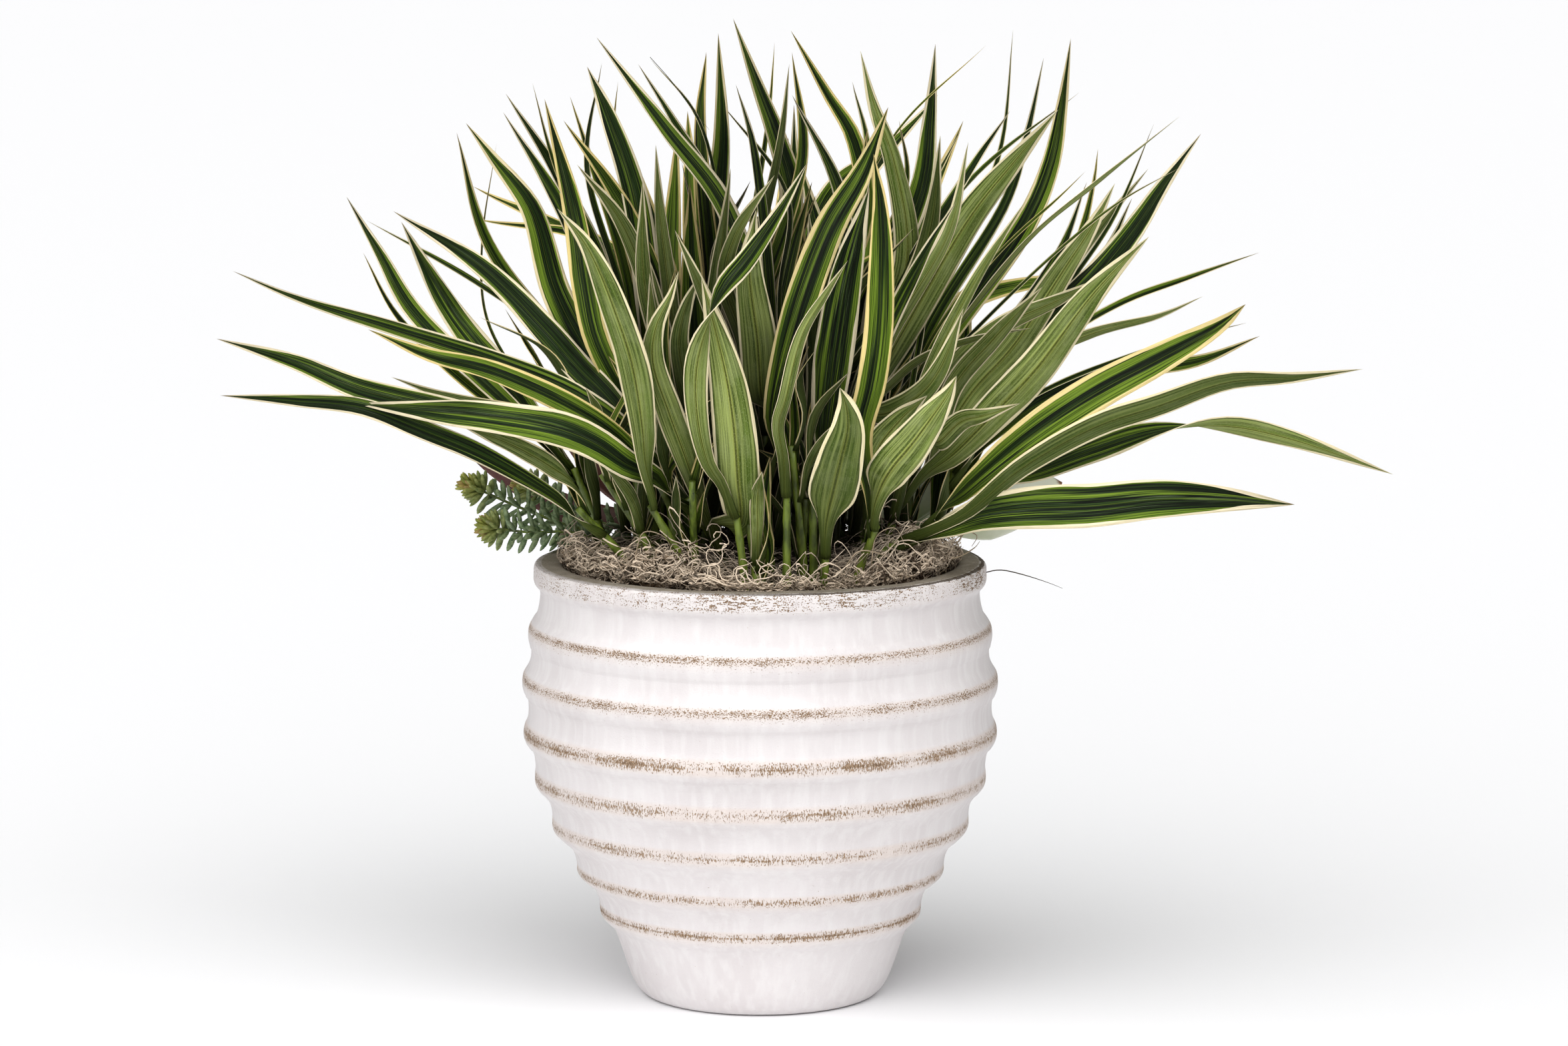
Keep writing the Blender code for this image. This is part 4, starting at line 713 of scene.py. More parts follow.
def bladeMesh(spine, shares, normals, width, spare=0.0):  # the plain blade that is tested for crossings
    points, faces = [], []
    last = len(spine) - 1
    for i in range(last):
        along = unit(spine[i + 1] - spine[max(i - 1, 0)])
        side = unit(np.cross(along, normals[i]))
        normal = np.cross(side, along)
        half = bladeWidth(shares[i], width) / 2
        raised = normal * grass["fold"] * 2 * half
        points.append(spine[i] - side * (half + spare) + raised)
        points.append(spine[i] + normal * spare)
        points.append(spine[i] + side * (half + spare) + raised)
        points.append(spine[i] - normal * (grass["thickness"] + spare))
    points.append(spine[last] + unit(spine[last] - spine[last - 1]) * spare)
    for i in range(last - 1):
        left, top, right, keel = (4 * i + k for k in range(4))
        for middle in (top, keel):
            faces += [(left, middle, middle + 4), (left, middle + 4, left + 4)]
            faces += [(right, middle, middle + 4), (right, middle + 4, right + 4)]
    left, top, right, keel = (4 * (last - 1) + k for k in range(4))
    tip = len(points) - 1
    faces += [(left, top, tip), (top, right, tip), (right, keel, tip), (keel, left, tip)]
    faces += [(0, 1, 3), (1, 2, 3)]
    return points, faces


def treeOf(points, faces):
    return BVHTree.FromPolygons([tuple(map(float, p)) for p in points], faces)


def boxOf(points):
    points = np.asarray(points)
    return points.min(axis=0), points.max(axis=0)


def apart(box, other):
    return (box[0] > other[1]).any() or (other[0] > box[1]).any()


def abovePot(spine, width):
    for number, (x, y, z) in enumerate(spine):
        away = math.hypot(x, y)
        level = mossHeight(x, y) if away < pot["mouth"] - grass["bladeFloor"] else pot["rimHeight"]
        if number > 2 and away < grass["rimReach"] and z < level + grass["bladeFloor"] + width * 0.3:
            return False
        for centre, radii in grass["keepClear"]:
            if sum(((value - c) / r) ** 2 for value, c, r in zip((x, y, z), centre, radii)) < 1:
                return False
    return True


class Planner:  # places blades one after another, each clear of the stems and of the blades before it
    def __init__(self):
        self.paths, self.heights, self.blades, self.placed = [], [], [], []
        for stem in stemPlaces:
            self.addStem(stemPath(stem))

    def addStem(self, path):
        points, faces = stemTube(path)
        tree = treeOf(points, faces)
        self.placed.append((len(self.paths), boxOf(points), tree, tree))
        self.paths.append(path)
        self.heights.append([])
        self.blades.append([])

    def freeHeight(self, stem, wanted):
        low = self.paths[stem][1][2] + grass["lowestBlade"]
        high = self.paths[stem][-1][2] - grass["topMargin"]
        heights = sorted(np.arange(high, low, -grass["spacing"] / 4), key=lambda z: abs(z - wanted))
        for height in heights:
            if all(abs(height - other) >= grass["spacing"] for other in self.heights[stem]):
                return height
        return None

    def crosses(self, blade, spine, shares, normals):
        fat = bladeMesh(spine, shares, normals, blade["width"], grass["clearance"])
        box, whole = boxOf(fat[0]), treeOf(*fat)
        outer = treeOf(*bladeMesh(spine[1:], shares[1:], normals[1:], blade["width"], gap))
        for owner, otherBox, otherWhole, otherOuter in self.placed:
            if apart(box, otherBox):
                continue
            if owner != blade["stem"]:
                if whole.overlap(otherWhole):
                    return True
            elif outer.overlap(otherWhole) or outer.overlap(otherOuter):
                return True
        return False

    def attempt(self, blade, height, course, section):
        stem, width = blade["stem"], blade["width"]
        root, along = stemPoint(self.paths[stem], height)
        heading = course[0] - root
        heading = unit(heading - along * np.dot(heading, along))
        sheath = root + unit(along + heading * grass["sheathSpread"]) * grass["sheath"]
        far = [p for p in course if np.linalg.norm(p - sheath) > grass["placeSpacing"]]
        course = [root, sheath] + far
        length = sum(np.linalg.norm(b - a) for a, b in zip(course, course[1:]))
        fewest, most = grass["sections"]
        sections = min(most, max(fewest, round((length - grass["sheath"]) / section)))
        if blade["turns"][0] != blade["turns"][1]:
            sections = grass["twistedSections"]
        shares = np.concatenate(([0], np.linspace(grass["sheath"] / length, 1, sections + 1)))
        spine = smoothCurve(course, shares)
        normals = bladeNormals(spine, shares, blade)
        if not abovePot(spine, width) or self.crosses(blade, spine, shares, normals):
            return False
        points, faces = bladeMesh(spine, shares, normals, width)
        outer = treeOf(*bladeMesh(spine[1:], shares[1:], normals[1:], width))
        self.placed.append((stem, boxOf(points), treeOf(points, faces), outer))
        blade.update(course=course, length=length, heading=heading)
        self.blades[stem].append(blade)
        self.heights[stem].append(height)
        return True

    def addListed(self, row):
        stem, width, turn, depth = row[:4]
        places = list(zip(row[4::2], row[5::2]))
        top = self.paths[stem][-1]
        start = top[1] / cm
        blade = {"stem": stem, "width": width * grass["stoutness"] * cm, "listed": True}
        blade["turns"] = turn if isinstance(turn, tuple) else (turn, turn)
        blade["lean"] = 1 if places[-1][0] < stemPlaces[stem][0] else -1
        blade["reference"] = np.array((0.0, -1.0, 0.0))
        for step in range(grass["listedTries"]):
            shift = (step + 1) // 2 * (1 if step % 2 else -1) * grass["depthStep"]
            bow = (step * 5 % grass["bows"] - grass["bows"] // 2) * grass["bowStep"]
            course = []
            for number, (x, z) in enumerate(places):
                t = (number + 1) / len(places)
                away = start + (depth + shift - start) * t ** grass["depthPower"] + bow * 4 * t * (1 - t)
                course.append(fromFront(x, z, away))
            height = self.freeHeight(stem, min(course[0][2] - grass["sheath"], top[2]))
            if height is None or self.attempt(blade, height, course, grass["section"]):
                return

    def addDrawn(self, stem, draw, kind):
        low, top = self.paths[stem][1][2], self.paths[stem][-1]
        out, up, down = grass["middle"]
        for _ in range(kind["tries"]):
            height = self.freeHeight(stem, draw.uniform(low, top[2]))
            if height is None:
                return
            outward = math.atan2(top[1], top[0]) + draw.uniform(-kind["fan"], kind["fan"])
            ranges = (kind[name] for name in ("reach", "rise", "widths", "droop"))
            reach, rise, width, droop = (draw.uniform(*limits) for limits in ranges)
            roll = draw.uniform(-kind["roll"], kind["roll"])
            heading = np.array((math.cos(outward), math.sin(outward), 0))
            root = stemPoint(self.paths[stem], height)[0]
            middle = root + heading * reach * out + np.array((0, 0, rise * up + droop * down))
            tip = root + heading * reach + np.array((0, 0, rise - droop))
            if math.hypot(tip[0] / kind["crown"][0], (tip[2] - pot["rimHeight"]) / kind["crown"][1]) > 1:
                continue
            if np.linalg.norm(tip - root) < 2 * grass["sheath"] or min(middle[1], tip[1]) < kind["front"]:
                continue
            blade = {"stem": stem, "width": width, "turns": (roll, roll), "lean": 1, "listed": False}
            blade["reference"] = np.array((0, 0, grass["lookUp"][0])) - heading * grass["lookUp"][1]
            if self.attempt(blade, height, [middle, tip], kind["section"]):
                return

    def addShoot(self, draw):  # a short inner stem, where there is room for one
        away, angle = grass["innerSpread"] * math.sqrt(draw.random()), draw.uniform(0, 2 * math.pi)
        place = (away * math.cos(angle), away * math.sin(angle))
        lean = grass["innerLean"]
        top = [value * grass["innerFlare"] + draw.uniform(-lean, lean) for value in place]
        rise = mossHeight(*place) + draw.uniform(*grass["innerHeight"])
        path = stemPath([value / cm for value in (*place, *top, rise)])
        points, faces = stemTube(path)
        box, tree = boxOf(points), treeOf(points, faces)
        if not any(tree.overlap(whole) for _, other, whole, _ in self.placed if not apart(box, other)):
            self.addStem(path)


def marginOf(r, u, v, across, tone, start, sway, fade, widening, soft):  # the cream edge, wider at the tip
    ripple = r.noise(r.spot(v * 4, tone * 50, u * 3), 1, 2)
    tip = r.rise(v, 0.6, 1) * r.rise(v, 0.7, 1)
    past = across - (start + (ripple - 0.5) * sway - tone * fade - tip * widening)
    return ripple, past, r.rise(past, 0, soft) * r.rise(v, 0.05, 0.10)


def leafUpperFinish():
    r = Recipe("leafUpper", {"Specular IOR Level": 0.13})
    (u, v, across), tone = r.leafPlace(), r.mark("tone")
    streak = r.noise(r.spot(u * 5 + tone * 40, v * 1.6 + tone * 13, tone * 7), 1, 2)
    lines = r.noise(r.spot(u * 26, v * 2.2 + tone * 9, tone * 31), 1, 2)
    fineLines = r.noise(r.spot(u * 90, v * 7, tone * 17), 1, 2)
    ridges = lines * 0.6 + fineLines * 0.4
    ripple, _, margin = marginOf(r, u, v, across, tone, 0.84, 0.5, 0.06, 0.5, 0.03)
    limeAt = across * 0.62 + (streak - 0.5) * 1.9 + (lines - 0.5) * 0.9 + (tone - 0.5) * 0.5
    cream = r.blend(tone, 0.35, 0.65, (255, 241, 204), (250, 226, 152))
    colour = r.coats(
        r.blend(ridges, 0.42, 0.64, (7, 14, 3), (42, 66, 20)),
        (r.rise(fineLines, 0.54, 0.66) * r.rise(streak, 0.4, 0.6) * 0.7, (106, 124, 88)),  # painted sheen: silvery streaks of light reflected off the fine ridges
        (r.rise(limeAt, 0.1, 0.44) * 0.92, r.blend(ridges, 0.36, 0.62, (46, 70, 12), (126, 154, 46))),
        ((1 - r.rise(across, 0.0, 0.04)) * 0.5, (92, 112, 30)),  # midrib
        # darker towards the base of the leaf: partly its own colour, partly painted shade low in the plant
        ((1 - r.rise(v, 0.02, 0.3)) * 0.7, (52, 64, 18)),
        (margin, r.mix(r.rise(fineLines, 0.5, 0.75) * 0.4, cream, (222, 204, 150))),
        (r.rise(v + (ripple - 0.5) * 0.03, 0.972, 0.995) * 0.6, (150, 124, 74)),  # dry tip
        # painted shade: dark near the heart of the plant, where the leaves shade each other
        (r.mark("heart") * 0.9, (5, 8, 2)),
    )
    r.finish({"Base Color": colour, "Roughness": 0.28 + fineLines * 0.24 + margin * 0.2,
              "Normal": r.bump(ridges, 0.0016)})
    return r.material


def leafUnderFinish():
    r = Recipe("leafUnder", {"Specular IOR Level": 0.11})
    (u, v, across), tone = r.leafPlace(), r.mark("tone")
    streak = r.noise(r.spot(u * 5 + tone * 31, v * 1.3, tone * 7), 1, 2)
    lines = r.noise(r.spot(u * 17, v * 1.8 + tone * 9, tone * 3), 1, 4)
    clouds = r.noise(r.spot(u * 3, v * 12, tone * 23), 1, 4)
    fineLines = r.noise(r.spot(u * 80, v * 5, tone * 17), 1, 1)
    cells = r.noise(r.spot(u * 60, v * 190, tone * 17), 1, 1)
    _, past, margin = marginOf(r, u, v, across, tone, 0.87, 0.3, 0.04, 0.6, 0.05)
    colour = r.coats(
        r.blend(lines, 0.36, 0.62, (70, 88, 28), (164, 178, 100)),
        (r.rise(streak, 0.46, 0.64) * 0.6, (94, 120, 38)),
        (r.rise(clouds, 0.45, 0.7) * 0.45, (160, 172, 112)),
        (r.rise(fineLines, 0.5, 0.64) * 0.5, (46, 60, 16)),
        ((1 - r.rise(across, 0.05, 0.16)) * 0.5, (164, 170, 76)),  # pale band beside the midrib
        ((1 - r.rise(across, 0.02, 0.07)) * 0.85, (58, 66, 12)),  # midrib
        (r.rise(cells, 0.5, 0.8) * 0.35, (184, 196, 132)),
        # darker by tone: the drawn blades behind the front draw higher tones, so this is partly random tone
        # and partly painted shade
        (r.rise(tone, 0.2, 1.0) * 0.8, (30, 46, 8)),
        # darker towards the base of the leaf: partly its own colour, partly painted shade low in the plant
        ((1 - r.rise(v, 0.02, 0.36)) * 0.8, (62, 74, 22)),
        (r.rise(past, -0.12, 0) * 0.5, (36, 50, 10)),  # dark line inside the cream
        (margin, r.mix(r.rise(fineLines, 0.45, 0.75) * 0.6, (255, 242, 200), (216, 200, 138))),
        # painted shade: dark near the heart of the plant
        (r.mark("heart") * 0.9, (5, 8, 2)),
    )
    r.finish({"Base Color": colour, "Roughness": 0.46 + cells * 0.2,
              "Normal": r.bump(lines * 0.6 + fineLines * 0.25 + cells * 0.15, 0.0015)})
    return r.material


def stemFinish():
    r = Recipe("grassStem", {"Specular IOR Level": 0.5})
    blotch = r.noise(r.place((1, 1, 0.3)), 160, 3)
    grain = r.noise(r.place((1, 1, 0.08)), 900, 2)
    colour = r.coats(
        r.blend(blotch, 0.35, 0.65, (58, 74, 14), (118, 138, 46)),
        (r.mark("tone") * 0.3, (86, 88, 28)),
        (r.rise(r.noise(r.place(), 420, 1), 0.72, 0.76) * 0.9, (28, 24, 14)),  # dark specks
        # painted shade: dark near the heart of the plant
        (r.mark("heart") * 0.8, (6, 9, 2)),
    )
    r.finish({"Base Color": colour, "Roughness": 0.28 + grain * 0.25,
              "Normal": r.bump(grain * 0.5 + blotch, 0.0009)})
    return r.material


# The finer leaf that is bent to each blade's place, and the rods of its stems
leafShape = {
    "grid": (12, 36),
    "smallGrid": (6, 14),
    "steps": 61,
    "skin": 0.032,
    "veinRelief": 0.004,
    "wrapWidth": 0.0058,  # half the width of a sheath, which wraps its stem
    "wrapRadius": 0.0042,
    "wrapLength": 0.06,
    "wave": 0.09,
    "waveShare": (0.2, 1),
    "waveCount": (1.5, 4),
    # the drawn blades, which keep out of the front, draw higher tones and so get darker undersides: partly
    # painted shade
    "listedTone": (0, 0.75),
    "drawnTone": (0.3, 1),
    "shaded": (0.128, 0.34, 0.022),  # the painted shade in the heart of the plant: its radius, its height, how far back
    "seed": 4,
}


def modelLeaf(upper, under, columns, rows):  # one leaf a unit long and wide, flat, keeled and veined
    leaf = primitive(bpy.ops.mesh.primitive_grid_add, x_subdivisions=columns, y_subdivisions=rows, size=1,
                     location=(0, 0.5, 0))
    bpy.ops.object.mode_set(mode="EDIT")
    for column in range(columns + 1):
        x = column / columns - 0.5
        lift = 2 * grass["fold"] * abs(x) + (leafShape["veinRelief"] if column % 2 else 0)
        pick(leaf, "VERT", lambda v: abs(v.co.x - x) < 0.001)
        bpy.ops.transform.translate(value=(0, 0, lift))
    bpy.ops.object.mode_set(mode="OBJECT")
    leaf.data.materials.append(upper)
    leaf.data.materials.append(under)
    applyModifier(leaf, "SOLIDIFY", {"thickness": leafShape["skin"], "offset": -1, "material_offset": 1,
                                     "material_offset_rim": 0})
    return leaf


def bendLeaf(master, blade, draw):  # a copy of the leaf, laid along a blade's course
    copy = copyOf(master)
    flat = pointsOf(copy)
    share, across = np.clip(flat[:, 1], 0, 1), 2 * flat[:, 0]
    rows = np.linspace(0, 1, leafShape["steps"])
    spine = smoothCurve(blade["course"], rows)
    along = alongOf(spine)
    normals = bladeNormals(spine, rows, blade)
    free = smooth(np.clip(rows * blade["length"] / leafShape["wrapLength"], 0, 1))
    inward = -blade["heading"] - along * (along @ -blade["heading"])[:, None]
    sides = np.cross(along, normals)
    swing = np.unwrap(np.arctan2((inward * sides).sum(axis=1), (inward * normals).sum(axis=1)))[:, None]
    swing = swing * (1 - free)[:, None]
    turned = normals * np.cos(swing) + sides * np.sin(swing)
    sides = unitRows(np.cross(along, turned))
    half = np.array([bladeWidth(s, blade["width"]) / 2 for s in rows])
    half = half * free + np.maximum(half, leafShape["wrapWidth"]) * (1 - free)
    radius = leafShape["wrapRadius"]
    spine = spine - turned * (radius * (1 - free))[:, None]
    halfAt, freeAt = (np.interp(share, rows, values) for values in (half, free))
    out = across * halfAt
    keel = grass["fold"] * np.abs(across)
    skin = (flat[:, 2] - keel) * 2 * np.minimum(halfAt, blade["width"] / 2)
    wave = draw.uniform(*leafShape["waveShare"]) * leafShape["wave"] * halfAt * across**2 * np.sign(across)
    waves = 2 * math.pi * share * draw.uniform(*leafShape["waveCount"])
    wave = wave * np.sin(waves + draw.uniform(0, 6))
    acrossBy = (1 - freeAt) * radius * np.sin(out / radius) + freeAt * out
    liftBy = (1 - freeAt) * radius * (1 - np.cos(out / radius)) + freeAt * (keel * 2 * halfAt + wave) + skin
    spineAt, sidesAt, turnedAt = readAt(share, rows, spine, sides, turned)
    movePoints(copy, spineAt + sidesAt * acrossBy[:, None] + turnedAt * liftBy[:, None])
    paint(copy, "tone", draw.uniform(*leafShape["listedTone" if blade["listed"] else "drawnTone"]))
    paintShade(copy, *leafShape["shaded"])
    return copy


# Rods of a unit's length: sides, cuts along them and the cuts that are swollen to rings
rods = {
    "stalk": (10, 25, (4, 9, 13, 17, 20, 23)),
    "smallStalk": (6, 11, (4, 8)),
    "ringSwell": 1.16,
    "steps": 41,
    "across": (0.31, 0.95, 0.05),  # a direction that no rod runs along
    "shadedReach": 0.85,
    "stemSwell": 1.18,  # against the plain stem's radius, at its root and at its top
    "topSwell": 1.1,
}


def modelRod(name, sides, cuts, rings, finish):
    piece = primitive(bpy.ops.mesh.primitive_cylinder_add, vertices=sides, radius=1, depth=1,
                      location=(0, 0, 0.5))
    piece.name = name
    bpy.ops.object.mode_set(mode="EDIT")
    pick(piece, "EDGE", lambda e: abs(e.verts[0].co.z - e.verts[1].co.z) > 0.5)
    bpy.ops.mesh.subdivide(number_cuts=cuts)
    for ring in rings:
        height = ring / (cuts + 1)
        pick(piece, "VERT", lambda v: abs(v.co.z - height) < 0.001)
        bpy.ops.transform.resize(value=(rods["ringSwell"], rods["ringSwell"], 1))
    bpy.ops.object.mode_set(mode="OBJECT")
    piece.data.materials.append(finish)
    return piece


def bendRod(master, path, radii, tone, flatness=1):  # a copy of a rod, laid along a path
    copy = copyOf(master)
    flat = pointsOf(copy)
    rows = np.linspace(0, 1, rods["steps"])
    spine = smoothCurve(path, rows)
    along = alongOf(spine)
    sides = unitRows(np.cross(along, rods["across"]))
    share = np.clip(flat[:, 2], 0, 1)
    middle, side, other = readAt(share, rows, spine, sides, np.cross(along, sides))
    thick = np.interp(rows, np.linspace(0, 1, len(radii)), radii)
    size = np.interp(share, rows, thick)[:, None]
    movePoints(copy, middle + side * flat[:, :1] * size + other * flat[:, 1:2] * size * flatness)
    paint(copy, "tone", tone)
    reach, rise, behind = leafShape["shaded"]
    paintShade(copy, reach * rods["shadedReach"], rise, behind)
    return copy


def planGrass():
    planner = Planner()
    for row in bladePlaces:
        planner.addListed(row)
    draw = random.Random(grass["fillSeed"])
    for kind in ("tall", "fill"):
        for stem, count in grass[kind + "Draws"]:
            for _ in range(count):
                planner.addDrawn(stem, draw, grass[kind])
    print("blades planned:", sum(map(len, planner.blades)))
    draw = random.Random(grass["innerSeed"])
    for _ in range(grass["innerShoots"]):
        planner.addShoot(draw)
    for stem in range(len(stemPlaces), len(planner.paths)):
        for _ in range(grass["innerLeaves"]):
            planner.addDrawn(stem, draw, grass["inner"])
    print("inner leaves planned:", sum(map(len, planner.blades[len(stemPlaces) :])))
    return planner


def plantGrass():
    planner = planGrass()
    upper, under, skin = leafUpperFinish(), leafUnderFinish(), stemFinish()
    leaf = modelLeaf(upper, under, *leafShape["grid"])
    smallLeaf = modelLeaf(upper, under, *leafShape["smallGrid"])
    stalk = modelRod("stalk", *rods["stalk"], skin)
    smallStalk = modelRod("smallStalk", *rods["smallStalk"], skin)
    full, top = grass["stemRadius"] * rods["stemSwell"], grass["stemTopRadius"] * rods["topSwell"]
    radii = (full, full, full * 0.95, top, top * 0.9)
    draw = random.Random(leafShape["seed"])
    inner = []
    for number, path in enumerate(planner.paths):
        outer = number < len(stemPlaces)
        pieces = [bendRod(stalk if outer else smallStalk, path, radii, draw.random())]
        pieces += [bendLeaf(leaf if outer else smallLeaf, blade, draw) for blade in planner.blades[number]]
        if outer:
            finished(joined(f"grassStem{number:02d}", pieces), "grass", f"grass_stem_{number:02d}")
        else:
            inner += pieces
    finished(joined("innerShoots", inner), "grass")
    discard(leaf, smallLeaf, stalk, smallStalk)


plantGrass()
print("grass planted")


# The moss's strands: curls are joined to tufts, and turned copies of the tufts cover the bed
strands = {
    "rod": (3, 17, ()),
    "thickness": 0.0006,
    "thicknessShare": (0.65, 1.3),
    "flatness": 0.6,
    "seed": 8,
    # one curl: a chain of steps that turns, and now and then turns back
    "points": 22,
    "step": 0.0032,
    "anyWay": (0, 6.28),
    "bend": (0.5, 1),
    "tilt": (-0.75, 0.75),
    "wobble": (0.3, 0.8),
    "turnBack": 0.13,
    "backBend": (0.6, 1.2),
    "bendShare": (0.6, 1.3),
    "ripple": 0.0007,
    # the tufts and how they lie
    "tufts": 7,
    "inTuft": 27,
    "tuftRadius": 0.024,
    "tuftDepth": 0.0105,
    "tuftPower": 1.5,
    "toneSpread": (-0.1, 0.4),
    "copies": 118,
    "goldenAngle": 2.39996,
    "pastMouth": 0.004,
    "sink": 0.001,
    "edgeBand": (0.03, 0.025),
    "edgeRise": 0.45,
    "back": (0.4, 8),
    "backDrop": 0.5,
    "lowest": 0.0004,
    "overFrom": (0.0005, 0.004),
    "overRim": 0.005,
    "wallGap": 0.0004,
    "wallSoftness": 0.006,
    "shaded": (0.115, 1, 0.03),
}


def strandFinish(name, dark, light):
    r = Recipe(name, {"Specular IOR Level": 0.25})
    lightness = r.mark("tone") * 0.6 + r.noise(r.place(), 110, 3) * 0.6
    # painted shade: strands near the heart of the plant darkened towards near black
    colour = r.mix(r.mark("heart") * 0.92, r.blend(lightness, 0.3, 0.8, dark, light), (14, 12, 8))
    r.finish({"Base Color": colour, "Roughness": 0.75, "Normal": r.bump(r.noise(r.place(), 1500, 2), 0.0003)})
    return r.material


def curlPath(draw):  # a springy curl about 7 cm long, lying on its side
    heading, step = draw.uniform(*strands["anyWay"]), strands["step"]
    bend = draw.choice((-1, 1)) * draw.uniform(*strands["bend"])
    tilt, wobble = draw.uniform(*strands["tilt"]), draw.uniform(*strands["wobble"])
    point, path = np.zeros(3), []
    for k in range(strands["points"]):
        path.append(point.copy())
        if draw.random() < strands["turnBack"]:
            bend = -bend * draw.uniform(*strands["backBend"])
        heading += bend * draw.uniform(*strands["bendShare"])
        climb = tilt * math.sin(heading) * step + math.sin(k * wobble) * strands["ripple"]
        point = point + np.array((math.cos(heading) * step, math.sin(heading) * step, climb))
    path = np.array(path)
    return path - path.mean(axis=0) - (0, 0, path[:, 2].min() - path[:, 2].mean())


def modelTuft(number, strand, draw):
    curls = []
    for k in range(strands["inTuft"]):
        high = k / strands["inTuft"]
        away, angle = strands["tuftRadius"] * math.sqrt(draw.random()), draw.uniform(*strands["anyWay"])
        depth = strands["tuftDepth"] * high ** strands["tuftPower"]
        path = curlPath(draw) + (away * math.cos(angle), away * math.sin(angle), depth)
        thick = strands["thickness"] * draw.uniform(*strands["thicknessShare"])
        tone = min(1, max(0, high * 0.8 + draw.uniform(*strands["toneSpread"])))
        curls.append(bendRod(strand, path, (thick, thick, thick * 0.5), tone, strands["flatness"]))
    return joined(f"tuft{number}", curls)


def layTuft(tuft, number, draw):  # a turned copy, laid on the bed and held back by the pot's wall
    copy = copyOf(tuft)
    flat = pointsOf(copy)
    angle, turn = number * strands["goldenAngle"], draw.uniform(*strands["anyWay"])
    away = (pot["mouth"] + strands["pastMouth"]) * math.sqrt((number + 0.5) / strands["copies"])
    x = flat[:, 0] * math.cos(turn) - flat[:, 1] * math.sin(turn) + away * math.cos(angle)
    y = flat[:, 0] * math.sin(turn) + flat[:, 1] * math.cos(turn) + away * math.sin(angle)
    far = np.maximum(np.hypot(x, y), 0.001)
    band, fade = strands["edgeBand"]
    nearRim = np.clip((far - pot["mouth"] + band) / fade, 0, 1)
    high = np.array([mossHeight(a, b) for a, b in zip(x, y)]) - strands["sink"]
    start, slope = strands["back"]
    deep = 1 + strands["edgeRise"] * nearRim - strands["backDrop"] * np.clip(start + y * slope, 0, 1)
    high += np.maximum(flat[:, 2], strands["lowest"]) * deep
    start, fade = strands["overFrom"]
    over = np.clip((high - pot["rimHeight"] - start) / fade, 0, 1)
    limit = pot["mouth"] + strands["wallGap"] + strands["overRim"] * over
    soft = strands["wallSoftness"]
    kept = np.where(far > limit - soft, limit - soft * np.exp(-(far - limit + soft) / soft), far)
    movePoints(copy, np.column_stack((x * kept / far, y * kept / far, high)))
    paintShade(copy, *strands["shaded"])
    return copy, y.mean() > 0


def layMoss():
    draw = random.Random(strands["seed"])
    strand = modelRod("strand", *strands["rod"], strandFinish("mossStrand", (66, 50, 36), (232, 212, 188)))
    tufts = [modelTuft(number, strand, draw) for number in range(strands["tufts"])]
    beds = {"mossFront": [], "mossBack": []}
    for number in range(strands["copies"]):
        copy, behind = layTuft(tufts[number % len(tufts)], number, draw)
        beds["mossBack" if behind else "mossFront"].append(copy)
    for name, bed in beds.items():
        finished(joined(name, bed), "moss")
    discard(*tufts)
    return strand


strand = layMoss()
print("moss laid")


# Loose fibres: places x, z and depth as the front view shows them, in centimetres, and thickness in metres
fibres = {
    "rimFibre": ([(16.6, 32.7, -1), (18.1, 33, -2), (19.7, 32.7, -3), (21.9, 32, -4), (22.9, 31.6, -4)],
                 0.0005),
    "topHair": ([(-8.2, 71.7, 3), (-6.6, 69.9, 3), (-5.2, 68, 3), (-3.8, 66.3, 3)], 0.0003),
    "rimTendrilA": ([(13.2, 33.6, -6), (15, 34, -5), (16.2, 34.7, -4), (16.6, 35.2, -3)], 0.0007),
    "rimTendrilB": ([(14.6, 34.6, -3), (15.6, 35.9, -3), (16.4, 35.6, -3), (16.0, 34.8, -3)], 0.0006),
    "mossLoopA": ([(8.4, 33.4, -11), (8.8, 35.6, -11), (10.2, 36.2, -10), (11.0, 34.8, -10)], 0.00055),
    "mossLoopB": ([(6.4, 33.2, -13), (7.4, 34.4, -13), (9.2, 34.2, -12), (10.2, 33.6, -12)], 0.00055),
    "mossLoopC": ([(-9.5, 34.0, -11), (-8.8, 35.9, -11), (-7.2, 35.5, -11), (-6.6, 34.2, -11)], 0.00055),
}


def layFibres():
    dark = strandFinish("darkFibre", (60, 54, 44), (104, 96, 84))
    pale = strandFinish("paleFibre", (140, 122, 98), (196, 176, 150))
    for name, (places, thick) in fibres.items():
        path = [fromFront(*place) for place in places]
        piece = bendRod(strand, path, (thick, thick, thick * 0.3), 0.5)
        piece.data.materials[0] = pale if name.startswith(("moss", "rimT")) else dark
        finished(joined(name, [piece]), "moss")
    discard(strand)


layFibres()


